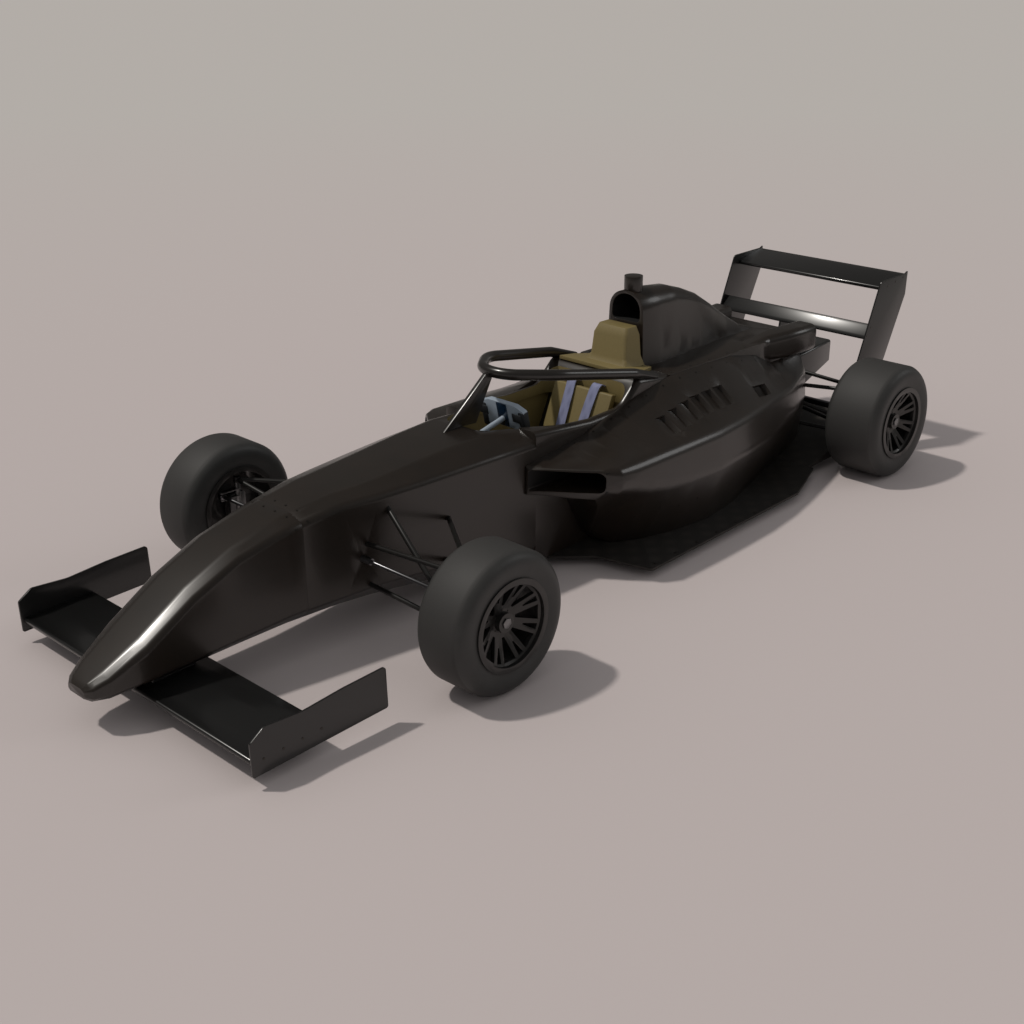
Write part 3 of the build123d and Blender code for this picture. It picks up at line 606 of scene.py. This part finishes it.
def closed_mesh(name: str, verts: list, faces: list[tuple[int, ...]]) -> bpy.types.Mesh:
    """Make a closed mesh whose faces all look outwards.

    Args:
        name: the mesh's name.
        verts: its points.
        faces: each face's points by number.

    Returns:
        The new mesh.
    """
    mesh = bpy.data.meshes.new(name)
    mesh.from_pydata(verts, [], faces)
    work = bmesh.new()
    work.from_mesh(mesh)
    bmesh.ops.remove_doubles(work, verts=work.verts, dist=SAME_POINT)
    bmesh.ops.recalc_face_normals(work, faces=work.faces)
    work.to_mesh(mesh)
    work.free()
    return mesh


@dataclass
class Surface:
    """A dressed node's skin, on which trim is set down."""

    node: str

    def __post_init__(self) -> None:
        """Index the shown mesh for ray casting."""
        mesh = bpy.data.objects[f"{self.node}_shown"].data
        self.tree = BVHTree.FromPolygons(
            [v.co.copy() for v in mesh.vertices], [tuple(f.vertices) for f in mesh.polygons]
        )

    def set_down(self, points: list[Vector], way: Vector) -> list[tuple[Vector, Vector]]:
        """Cast points onto the skin.

        Args:
            points: where the rays start.
            way: their shared direction.

        Returns:
            Each hit with the skin's normal there, in order.
        """
        marks = []
        for point in points:
            hit, normal, _, _ = self.tree.ray_cast(point, way)
            if hit is not None:
                marks.append((hit, -normal if normal.dot(way) > 0 else normal))
        return marks


def straight(start: Triple, end: Triple, count: int) -> list[Vector]:
    """Points evenly along a straight run.

    Args:
        start: the first point.
        end: the last point.
        count: how many.

    Returns:
        The points in order.
    """
    first, last = Vector(start), Vector(end)
    return [first.lerp(last, k / (count - 1)) for k in range(count)]


def new_tree(name: str, inputs: dict[str, str]) -> tuple[bpy.types.NodeTree, bpy.types.Node]:
    """Start a geometry tree with named inputs and one geometry output.

    Args:
        name: the tree's name.
        inputs: each input's kind by its name.

    Returns:
        The tree and its group input node.
    """
    tree = bpy.data.node_groups.new(name, "GeometryNodeTree")
    for label, kind in inputs.items():
        tree.interface.new_socket(label, in_out="INPUT", socket_type=f"NodeSocket{kind}")
    tree.interface.new_socket("Geometry", in_out="OUTPUT", socket_type="NodeSocketGeometry")
    return tree, add_node(tree, "NodeGroupInput")


def finish_tree(
    tree: bpy.types.NodeTree, instances: bpy.types.NodeSocket, material: bpy.types.NodeSocket
) -> None:
    """End a tree with realized instances in one material.

    Args:
        tree: the geometry tree.
        instances: what it has placed.
        material: the socket that carries the finish.
    """
    real = add_node(tree, "GeometryNodeRealizeInstances", links={0: instances})
    painted = add_node(
        tree, "GeometryNodeSetMaterial", links={"Geometry": real.outputs[0], "Material": material}
    )
    add_node(tree, "NodeGroupOutput", links={0: painted.outputs[0]})


@cache
def heads_tree() -> bpy.types.NodeTree:
    """The tree that sets round heads at even steps along paths, square to the skin."""
    tree, given = new_tree(
        "heads_on_paths",
        {"Geometry": "Geometry", "Spacing": "Float", "Radius": "Float", "Height": "Float",
         "Flats": "Int", "Finish": "Material"},
    )
    path = add_node(tree, "GeometryNodeMeshToCurve", links={"Mesh": given.outputs["Geometry"]})
    steps = add_node(
        tree, "GeometryNodeResampleCurve", settings={"mode": "LENGTH"},
        links={"Curve": path.outputs[0], "Length": given.outputs["Spacing"]},
    )
    head = add_node(
        tree,
        "GeometryNodeMeshCylinder",
        links={
            "Vertices": given.outputs["Flats"],
            "Radius": given.outputs["Radius"],
            "Depth": given.outputs["Height"],
        },
    )
    out = add_node(
        tree, "GeometryNodeInputNamedAttribute", settings={"data_type": "FLOAT_VECTOR"},
        values={"Name": "out"},
    )
    turn = add_node(
        tree, "FunctionNodeAlignRotationToVector", settings={"axis": "Z"},
        links={"Vector": out.outputs[0]},
    )
    sources = {"Points": steps, "Instance": head, "Rotation": turn}
    placed = add_node(
        tree, "GeometryNodeInstanceOnPoints",
        links={label: source.outputs[0] for label, source in sources.items()},
    )
    finish_tree(tree, placed.outputs[0], given.outputs["Finish"])
    return tree


@cache
def slats_tree() -> bpy.types.NodeTree:
    """The tree that repeats one flat slat at even steps."""
    tree, given = new_tree(
        "row_of_slats",
        {"Count": "Int", "Start": "Vector", "Step": "Vector", "Size": "Vector",
         "Finish": "Material"},
    )
    line = add_node(
        tree,
        "GeometryNodeMeshLine",
        links={
            "Count": given.outputs["Count"],
            "Start Location": given.outputs["Start"],
            "Offset": given.outputs["Step"],
        },
    )
    slat = add_node(tree, "GeometryNodeMeshCube", links={"Size": given.outputs["Size"]})
    placed = add_node(
        tree,
        "GeometryNodeInstanceOnPoints",
        links={"Points": line.outputs[0], "Instance": slat.outputs[0]},
    )
    finish_tree(tree, placed.outputs[0], given.outputs["Finish"])
    return tree


def grow(
    name: str,
    base: bpy.types.Mesh,
    tree: bpy.types.NodeTree,
    values: dict[str, Any],
    finish: Finish,
) -> bpy.types.Object:
    """Run a geometry tree on a base mesh and keep its result as plain mesh.

    Args:
        name: the piece's name.
        base: the mesh that the tree starts from.
        tree: the geometry tree.
        values: its inputs by name.
        finish: the result's finish.

    Returns:
        The new piece, without modifiers.
    """
    piece = bpy.data.objects.new(name, base)
    bpy.context.scene.collection.objects.link(piece)
    modifier = piece.modifiers.new("grown", "NODES")
    modifier.node_group = tree
    sockets = [item for item in tree.interface.items_tree if item.in_out == "INPUT"]
    keys = {item.name: item.identifier for item in sockets}
    for label, value in values.items():
        modifier[keys[label]] = value
    modifier[keys["Finish"]] = finish.build()
    apply_modifiers(piece)
    log.info("%s grown, %d faces", name, len(piece.data.polygons))
    return piece


@dataclass
class Screws:
    """Screw heads along lines on one node's skin."""

    node: str
    slot: str
    radius_mm: float
    spacing_mm: float
    height_mm: float = 2.4
    flats: int = 12
    lines: list[list[tuple[Vector, Vector]]] = field(default_factory=list)

    def line(self, start: Triple, end: Triple, way: Triple, count: int = 24) -> "Screws":
        """Add a line that is cast onto the skin.

        Args:
            start: where the line's first ray starts.
            end: where its last ray starts.
            way: the rays' direction.
            count: rays along the line.

        Returns:
            The same set, for the next line.
        """
        self.lines.append(Surface(self.node).set_down(straight(start, end, count), Vector(way)))
        return self

    def ring(self, centre: Triple, radius: float, way: Triple, count: int = 48) -> "Screws":
        """Add a ring about an axle along X, cast onto the skin.

        Args:
            centre: the ring's middle, outside the skin.
            radius: its radius.
            way: the rays' direction.
            count: rays round the ring.

        Returns:
            The same set, for the next line.
        """
        middle = Vector(centre)
        points = []
        for k in range(count):
            turn = 2 * math.pi * k / count
            points.append(middle + Vector((0, math.cos(turn), math.sin(turn))) * radius)
        self.lines.append(Surface(self.node).set_down(points, Vector(way)))
        return self

    def build(self) -> None:
        """Set the heads along every line and let them ride with the node."""
        verts, edges, outs = [], [], []
        for marks in self.lines:
            first = len(verts)
            verts += [hit for hit, _ in marks]
            outs += [normal for _, normal in marks]
            edges += [(first + k, first + k + 1) for k in range(len(marks) - 1)]
        mesh = bpy.data.meshes.new(f"{self.node}_screws")
        mesh.from_pydata(verts, edges, [])
        layer = mesh.attributes.new("out", "FLOAT_VECTOR", "POINT")
        for k, normal in enumerate(outs):
            layer.data[k].vector = normal
        values = {
            "Spacing": self.spacing_mm * MM,
            "Radius": self.radius_mm * MM,
            "Height": self.height_mm * MM,
            "Flats": self.flats,
        }
        piece = grow(f"{self.node}_screws", mesh, heads_tree(), values, SCREW)
        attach(piece, frame["nodes"][self.node]["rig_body"])


@dataclass
class Slats:
    """A block of thin slats: a radiator's fins or a lens's ribs."""

    name: str
    body: str
    slot: str
    finish: Finish
    start: Triple
    step: Triple
    size: Triple
    count: int

    def build(self) -> None:
        """Repeat the slat and let the block ride with its body."""
        values = {"Count": self.count, "Start": self.start, "Step": self.step, "Size": self.size}
        base = bpy.data.meshes.new(self.name)
        piece = grow(self.name, base, slats_tree(), values, self.finish)
        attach(piece, self.body)


def add_block(
    name: str, body: str, finish: Finish, centre: Vector,
    axes: tuple[Vector, Vector, Vector], size: Triple, edge_mm: float,
) -> None:
    """Add a softened box.

    Args:
        name: the piece's name.
        body: what it rides on.
        finish: its finish.
        centre: its middle.
        axes: its three unit directions.
        size: its length along each.
        edge_mm: width of its softened edges.
    """
    ends = (-0.5, 0.5)
    corners = [
        centre + axes[0] * size[0] * i + axes[1] * size[1] * j + axes[2] * size[2] * k
        for i in ends for j in ends for k in ends
    ]
    faces = [(0, 1, 3, 2), (4, 6, 7, 5), (0, 4, 5, 1), (2, 3, 7, 6), (0, 2, 6, 4), (1, 5, 7, 3)]
    piece = add_piece(name, closed_mesh(name, corners, faces), finish)
    soften(piece, edge_mm, BLOCK_EDGE)
    shade(piece, SMALL_SMOOTH)
    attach(piece, body)


def add_knob(
    name: str, body: str, finish: Finish, foot: Vector, along: Vector, radius: float,
    height: float, flats: int = 24,
) -> None:
    """Add a short round knob.

    Args:
        name: the piece's name.
        body: what it rides on.
        finish: its finish.
        foot: the middle of its seat.
        along: its axis.
        radius: its radius.
        height: its height.
        flats: facets round it.
    """
    side = along.orthogonal().normalized()
    up = along.cross(side)
    verts = []
    for h, r in ((0.0, radius), (height * KNOB_WAIST, radius), (height, radius * KNOB_TOP)):
        for k in range(flats):
            turn = 2 * math.pi * k / flats
            verts.append(foot + along * h + (side * math.cos(turn) + up * math.sin(turn)) * r)
    faces = [tuple(range(flats)), tuple(range(2 * flats, 3 * flats))]
    for ring in (0, flats):
        for k in range(flats):
            j = (k + 1) % flats
            faces.append((ring + k, ring + j, ring + flats + j, ring + flats + k))
    piece = add_piece(name, closed_mesh(name, verts, faces), finish)
    shade(piece, SMALL_SMOOTH)
    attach(piece, body)


@dataclass
class Strap:
    """A flat harness strap along a smoothed path."""

    name: str
    path: tuple[Triple, ...]
    width: float = 0.05
    thickness: float = 0.003
    steps: int = 8

    def centre_line(self) -> list[Vector]:
        """The path's points joined by a smooth curve."""
        nodes = [Vector(p) for p in self.path]
        ends = [nodes[0] * 2 - nodes[1], *nodes, nodes[-1] * 2 - nodes[-2]]
        line = []
        for a, b, c, d in zip(ends, ends[1:], ends[2:], ends[3:]):
            for k in range(self.steps):
                t = k / self.steps
                line.append(
                    0.5 * (2 * b + (c - a) * t + (2 * a - 5 * b + 4 * c - d) * t * t
                           + (3 * b - a - 3 * c + d) * t ** 3)
                )
        line.append(nodes[-1])
        return line

    def build(self) -> None:
        """Lay the strap and let it ride with the car."""
        line = self.centre_line()
        verts = []
        for k, point in enumerate(line):
            ahead = (line[min(k + 1, len(line) - 1)] - line[max(k - 1, 0)]).normalized()
            across = Vector((1, 0, 0)) - ahead * ahead.x
            across.normalize()
            lift = across.cross(ahead)
            for i, j in ((-0.5, -0.5), (0.5, -0.5), (0.5, 0.5), (-0.5, 0.5)):
                verts.append(point + across * self.width * i + lift * self.thickness * j)
        faces = [(0, 1, 2, 3), tuple(len(verts) - 4 + k for k in range(4))]
        for k in range(len(line) - 1):
            for i in range(4):
                j = (i + 1) % 4
                faces.append((4 * k + i, 4 * k + j, 4 * k + 4 + j, 4 * k + 4 + i))
        piece = add_piece(self.name, closed_mesh(self.name, verts, faces), WEBBING)
        shade(piece, ROUND_SMOOTH)
        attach(piece, "chassis")
        log.info("%s laid, %d faces", self.name, len(faces))


@dataclass
class Bodywork:
    """The fixed carbon shell, wings and floor."""

    shell: tuple[str, ...] = (
        "monocoque", "nose_cone", "engine_cover", "sidepod_left", "sidepod_right", "camera_pod",
    )
    wings: tuple[str, ...] = (
        "front_wing", "front_endplate_left", "front_endplate_right", "rear_wing_plane",
        "beam_wing", "rear_endplate_left", "rear_endplate_right", "wing_pylons", "crash_structure",
    )
    under: tuple[str, ...] = ("floor", "diffuser")

    cockpit_half: float = 0.262
    cockpit_y: tuple[float, float] = (-1.03, 0.342)
    cockpit_z: tuple[float, float] = (0.06, 0.682)
    intake_half: float = 0.09
    intake_z: float = 0.893
    intake_y: tuple[float, float] = (0.582, 0.77)
    inlet_x: tuple[float, float] = (0.282, 0.55)
    inlet_y: tuple[float, float] = (-0.19, 0.056)
    inlet_z: tuple[float, float] = (0.402, 0.499)
    plank_top: float = 0.0395
    # A face looks along an axis when its normal has this share of it
    facing: float = 0.5
    # Above the sill, faces that lean up by this share belong to the tub's outside
    sill_z: float = 0.45
    sill_lean: float = 0.2
    # Front walls lie before the first of these places, rear walls behind the second
    wall_y: tuple[float, float] = (-0.45, 0.08)
    # Floors lie below this height, roofs above it
    middle_z: float = 0.4
    # The duct's middle height, its end wall's place and how squarely that wall faces forward
    duct_middle_z: float = 0.955
    duct_end_y: float = 0.7
    duct_end_facing: float = 0.7

    def in_cockpit(self, centre: Vector, normal: Vector) -> bool:
        """Whether a face of the tub looks into the driver's space.

        Args:
            centre: the face's middle.
            normal: its direction.

        Returns:
            True for the walls, floor and roof of the hollow.
        """
        low, high = self.cockpit_y
        if not (abs(centre.x) < self.cockpit_half and low < centre.y < high):
            return False
        if not self.cockpit_z[0] < centre.z < self.cockpit_z[1]:
            return False
        if normal.z > self.sill_lean and centre.z > self.sill_z:
            return False
        if abs(normal.x) > self.facing:
            return centre.x * normal.x < 0
        if abs(normal.y) > self.facing:
            return centre.y < self.wall_y[0] if normal.y > 0 else centre.y > self.wall_y[1]
        return (centre.z < self.middle_z) == (normal.z > 0)

    def in_intake(self, centre: Vector, normal: Vector) -> bool:
        """Whether a face lines the air intake's duct.

        Args:
            centre: the face's middle.
            normal: its direction.

        Returns:
            True for the duct's walls and its end.
        """
        low, high = self.intake_y
        if abs(centre.x) >= self.intake_half or centre.z <= self.intake_z:
            return False
        if not low < centre.y < high:
            return False
        toward = Vector((-centre.x, 0, self.duct_middle_z - centre.z))
        end = normal.y < -self.duct_end_facing and centre.y > self.duct_end_y
        return toward.dot(normal) > 0 or end

    def on_plank(self, centre: Vector, normal: Vector) -> bool:
        """Whether a face of the floor belongs to the plank.

        Args:
            centre: the face's middle.
            normal: its direction, which doesn't matter here.

        Returns:
            True below the floor's own skin.
        """
        return centre.z < self.plank_top

    def in_inlet(self, centre: Vector, normal: Vector) -> bool:
        """Whether a face lines a sidepod's cooling inlet.

        Args:
            centre: the face's middle.
            normal: its direction, which doesn't matter here.

        Returns:
            True inside the inlet's box.
        """
        spans = (self.inlet_x, self.inlet_y, self.inlet_z)
        place = (abs(centre.x), centre.y, centre.z)
        return all(low < at < high for at, (low, high) in zip(place, spans))

    def build(self) -> None:
        """Dress every node of the shell, wings and floor."""
        linings: dict[str, tuple[Finish, FaceTest]] = {
            "monocoque": (ARAMID, self.in_cockpit),
            # The intake and inlet faces take the near black lining, which is painted shade
            "engine_cover": (DUCT_SHADE, self.in_intake),
            "sidepod_left": (DUCT_SHADE, self.in_inlet),
            "sidepod_right": (DUCT_SHADE, self.in_inlet),
            "floor": (PLANK, self.on_plank),
        }
        families = (
            (self.shell, BODY_CARBON, "body_carbon", 3.0, SHELL_SMOOTH),
            (self.wings, WING_CARBON, "aero_carbon", 1.0, BLOCK_EDGE),
            (self.under, FLOOR_CARBON, "floor_carbon", 1.5, BLOCK_EDGE),
        )
        for nodes, finish, slot, bevel_mm, smooth_deg in families:
            for node in nodes:
                lining, lined = linings.get(node, (None, None))
                Dressing(node, finish, slot, bevel_mm, smooth_deg, lining, lined).build()
        self.fasteners()
        for side in Side:
            x = side.value
            Slats(
                f"radiator_{side.word}", "chassis", "body_carbon", GROUND_STEEL,
                start=(x * 0.296, 0.046, 0.45), step=(x * 0.0095, 0, 0),
                size=(0.0015, 0.008, 0.086), count=26,
            ).build()
        Slats(
            "rain_light_ribs", "chassis", "aero_carbon", RAIN_LENS,
            start=(-0.033, 2.291, 0.405), step=(0.006, 0, 0), size=(0.0035, 0.012, 0.075), count=12,
        ).build()

    def fasteners(self) -> None:
        """Set the screw heads along the seams of the shell, floor and wings.

        Each set names its node, slot, head radius and spacing in millimetres. Each line names where
        its first and last rays start, outside the skin, and their direction.
        """
        down = (0, 0, -1)
        for node, y in (("nose_cone", -1.495), ("monocoque", -1.443)):
            Screws(node, "body_carbon", 4.5, 62).line((-0.16, y, 1), (0.16, y, 1), down).build()
        cover = Screws("engine_cover", "body_carbon", 5, 120)
        for side in Side:
            x = side.value
            cover.line((x * 0.247, 0.62, 1), (x * 0.247, 1.2, 1), down)
            cover.line((x * 0.125, 0.6, 0.74), (x * 0.2, 0.6, 0.74), down, 6)
        cover.build()
        for side in Side:
            x = side.value
            inwards = (-x, 0, 0)
            Screws(f"sidepod_{side.word}", "body_carbon", 5, 120).line(
                (x * 0.292, -0.1, 1), (x * 0.292, 1.35, 1), down).line(
                (x * 0.8, 0.08, 0.2), (x * 0.8, 1.2, 0.2), inwards).build()
            Screws(f"front_endplate_{side.word}", "aero_carbon", 5, 64).line(
                (x * 1.2, -2.12, 0.103), (x * 1.2, -1.88, 0.11), inwards).build()
            Screws(f"rear_endplate_{side.word}", "aero_carbon", 5, 60).line(
                (x * 0.9, 2.16, 0.855), (x * 0.9, 2.31, 0.878), inwards).line(
                (x * 0.9, 1.995, 0.622), (x * 0.9, 2.025, 0.662), inwards, 4).build()
        floor = Screws("floor", "floor_carbon", 6, 150)
        for side in Side:
            floor.line((side.value * 0.655, 0.02, 0.3), (side.value * 0.632, 1.1, 0.3), down)
        floor.build()


@dataclass
class RunningGear:
    """Suspension legs, uprights, steering bar, shafts and the power unit."""

    def build(self) -> None:
        """Dress the mechanical nodes of both sides."""
        sided = (
            ("front_arms", LEG_PAINT, "arm_steel", 0.8),
            ("rear_arms", LEG_PAINT, "arm_steel", 0.8),
            ("upright_front", MACHINED, "upright_metal", 1.0),
            ("upright_rear", MACHINED, "upright_metal", 1.0),
            ("driveshaft", GROUND_STEEL, "shaft_steel", 0.0),
        )
        for side in Side:
            for stem, finish, slot, bevel_mm in sided:
                Dressing(f"{stem}_{side.word}", finish, slot, bevel_mm).build()
        Dressing("steering_rack", GROUND_STEEL, "shaft_steel", 0.8).build()
        Dressing("gearbox", CAST_CASE, "gearbox_metal", 3.0).build()
        Dressing("engine_block", CAST_CASE, "engine_metal", 3.0).build()


@dataclass
class Cockpit:
    """Halo, seat, head surround and hand wheel."""

    column: Triple = (0, 0.755, 0.182)
    hand_wheel_middle: Triple = (0, -0.234, 0.622)

    def build(self) -> None:
        """Dress the cockpit's nodes."""
        Dressing("halo", HALO_PAINT, "halo_metal", 0.0, ROUND_SMOOTH).build()
        Dressing("halo_pylon", HALO_PAINT, "halo_metal", 1.5).build()
        Dressing("head_surround", ARAMID, "aramid_liner", 6.0).build()
        Dressing("seat", ARAMID, "aramid_liner", 6.0).build()
        Dressing("steering_wheel", GREY_SHELL, "grip_plastic", 1.5).build()
        self.harness()
        self.hand_wheel()

    def harness(self) -> None:
        """Lay the shoulder and lap straps down to their buckle, from points along each path."""
        for side in Side:
            x = side.value
            Strap(
                f"shoulder_strap_{side.word}",
                ((x * 0.075, 0.345, 0.648), (x * 0.072, 0.3, 0.664), (x * 0.066, 0.262, 0.6),
                 (x * 0.058, 0.19, 0.44), (x * 0.048, 0.11, 0.25), (x * 0.03, 0.0, 0.19)),
            ).build()
            Strap(
                f"lap_strap_{side.word}",
                ((x * 0.165, 0.075, 0.15), (x * 0.12, 0.04, 0.185), (x * 0.03, -0.012, 0.19)),
            ).build()
        add_knob(
            "harness_buckle", "chassis", BUCKLE, Vector((0, -0.005, 0.186)),
            Vector((0, -0.35, 0.94)).normalized(), radius=0.032, height=0.018,
        )

    def hand_wheel(self) -> None:
        """Fit the grips, the display, the centre strip and the controls to the hand wheel."""
        along = Vector(self.column).normalized()
        across = Vector((1, 0, 0))
        down = along.cross(across)
        axes = (across, down, along)
        middle = Vector(self.hand_wheel_middle)

        def at(x: float, y: float, height: float) -> Vector:
            """Find a place on the hand wheel.

            Args:
                x: how far to the car's left.
                y: how far down its plane.
                height: how far towards the driver.

            Returns:
                The place in the car's frame.
            """
            return middle + across * x + down * y + along * height

        body, slot = "hand_wheel", "grip_plastic"
        for side in Side:
            x = side.value
            add_block(f"grip_{side.word}", body, GRIP, at(x * 0.112, 0.006, 0.013), axes,
                      size=(0.036, 0.116, 0.034), edge_mm=8)
            for row, finish in enumerate((BUCKLE, RAIN_LENS, GRIP)):
                add_knob(f"button_{side.word}_{row + 1}", body, finish,
                         at(x * 0.076, -0.046 + row * 0.026, 0.026), along,
                         radius=0.0065, height=0.005, flats=16)
            add_knob(f"dial_{side.word}", body, GRIP, at(x * 0.05, 0.022, 0.026), along,
                     radius=0.011, height=0.01, flats=20)
            add_block(f"shift_paddle_{side.word}", body, GRIP, at(x * 0.098, -0.028, -0.016),
                      axes, size=(0.05, 0.04, 0.004), edge_mm=1.5)
        add_block("display", body, DISPLAY, at(0, -0.034, 0.027), axes,
                  size=(0.088, 0.046, 0.004), edge_mm=1.5)
        add_block("centre_strip", body, DISPLAY, at(0, -0.018, -0.0015), axes,
                  size=(0.058, 0.11, 0.004), edge_mm=1.0)


@dataclass(frozen=True)
class Sun:
    """A distant soft light: where it comes from, its strength and its spread."""

    name: str
    comes_from: Triple
    strength: float
    spread_deg: float
    colour: str = "ffffff"
    away: float = 5.0

    def build(self) -> None:
        """Hang the light."""
        data = bpy.data.lights.new(self.name, "SUN")
        data.energy = self.strength
        data.angle = math.radians(self.spread_deg)
        data.color = linear(self.colour)[:3]
        lamp = bpy.data.objects.new(self.name, data)
        lamp.location = Vector(self.comes_from) * self.away
        lamp.rotation_euler = Vector(self.comes_from).to_track_quat("Z", "Y").to_euler()
        bpy.context.scene.collection.objects.link(lamp)


@dataclass
class Studio:
    """Pale floor, plain sky, two distant lights and the camera."""

    eye: Triple = (4.0025, -4.376, 2.5993)
    yaw_deg: float = 133.66
    pitch_deg: float = 22.78
    view_deg: float = 40.0
    sensor_mm: float = 36.0
    floor_half: float = 60.0
    floor_colour: str = "b4abaa"
    seen_sky: str = "b3afab"
    far_floor_colour: str = "b3afac"
    near_floor: float = 3.0
    far_floor: float = 16.0
    sky_strength: float = 0.44
    gloss_sky_strength: float = 0.2
    suns: tuple[Sun, ...] = field(
        default_factory=lambda: (
            Sun("key_light", (-0.36, -0.345, 0.866), 1.9, 3.0, "fffaf3"),
            Sun("rim_light", (0.5, 0.75, 0.43), 0.22, 20.0),
        )
    )

    def build(self) -> None:
        """Set up everything that isn't the car."""
        self._floor()
        self._world()
        for sun in self.suns:
            sun.build()
        self._camera()
        bpy.context.scene.view_settings.view_transform = "Standard"

    def _floor(self) -> None:
        """Lay the floor, which shows its own pale colour and keeps the car's shadow."""
        mesh = bpy.data.meshes.new("studio_floor")
        h = self.floor_half
        mesh.from_pydata([(-h, -h, 0), (h, -h, 0), (h, h, 0), (-h, h, 0)], [], [(0, 1, 2, 3)])
        material = bpy.data.materials.new("studio_floor_paint")
        material.use_nodes = True
        tree = material.node_tree
        tree.nodes.clear()
        place = add_node(tree, "ShaderNodeTexCoord")
        away = add_node(
            tree,
            "ShaderNodeVectorMath",
            settings={"operation": "LENGTH"},
            links={0: place.outputs["Object"]},
        )
        share = add_node(
            tree,
            "ShaderNodeMapRange",
            values={"From Min": self.near_floor, "From Max": self.far_floor},
            links={"Value": away.outputs["Value"]},
        )
        tone = add_node(
            tree,
            "ShaderNodeMix",
            settings={"data_type": "RGBA"},
            values={6: linear(self.floor_colour), 7: linear(self.far_floor_colour)},
            links={0: share.outputs[0]},
        )
        paint = add_node(tree, "ShaderNodeBsdfDiffuse", links={"Color": tone.outputs[2]})
        add_node(tree, "ShaderNodeOutputMaterial", links={"Surface": paint.outputs[0]})
        mesh.materials.append(material)
        floor = bpy.data.objects.new("studio_floor", mesh)
        bpy.context.scene.collection.objects.link(floor)

    def _world(self) -> None:
        """Light evenly from a white sky that the camera sees as pale grey and gloss as dusk."""
        world = bpy.data.worlds.new("studio_sky")
        bpy.context.scene.world = world
        world.use_nodes = True
        tree = world.node_tree
        tree.nodes.clear()
        lit, seen, gloss = (
            add_node(
                tree, "ShaderNodeBackground", values={"Color": linear(colour), "Strength": strength}
            )
            for colour, strength in (
                ("ffffff", self.sky_strength),
                (self.seen_sky, 1.0),
                (self.seen_sky, self.gloss_sky_strength),
            )
        )
        ray = add_node(tree, "ShaderNodeLightPath")
        sky = lit
        for kind, source in (
            ("Is Glossy Ray", gloss), ("Is Camera Ray", seen), ("Is Transmission Ray", seen),
        ):
            sky = add_node(
                tree,
                "ShaderNodeMixShader",
                links={0: ray.outputs[kind], 1: sky.outputs[0], 2: source.outputs[0]},
            )
        add_node(tree, "ShaderNodeOutputWorld", links={"Surface": sky.outputs[0]})

    def _camera(self) -> None:
        """Place the camera at the viewpoint of the picture."""
        yaw, pitch = math.radians(self.yaw_deg), math.radians(self.pitch_deg)
        ahead = Vector(
            (math.cos(yaw) * math.cos(pitch), math.sin(yaw) * math.cos(pitch), -math.sin(pitch))
        )
        data = bpy.data.cameras.new("camera")
        data.sensor_width = self.sensor_mm
        data.lens = self.sensor_mm / 2 / math.tan(math.radians(self.view_deg / 2))
        camera = bpy.data.objects.new("camera", data)
        camera.location = self.eye
        camera.rotation_mode = "QUATERNION"
        camera.rotation_quaternion = ahead.to_track_quat("-Z", "Y")
        bpy.context.scene.collection.objects.link(camera)
        bpy.context.scene.camera = camera


def main() -> None:
    """Build each sub-assembly in order."""
    logging.basicConfig(level=logging.INFO, format="%(name)s: %(message)s")
    Studio().build()
    Bodywork().build()
    for side in Side:
        Corner("front", side, FRONT_AXLE_Y, radius=0.280, half_width=0.118, middle_x=0.807).build()
        Corner("rear", side, REAR_AXLE_Y, radius=0.285, half_width=0.145, middle_x=0.675).build()
    RunningGear().build()
    Cockpit().build()


if __name__ == "__main__":
    main()
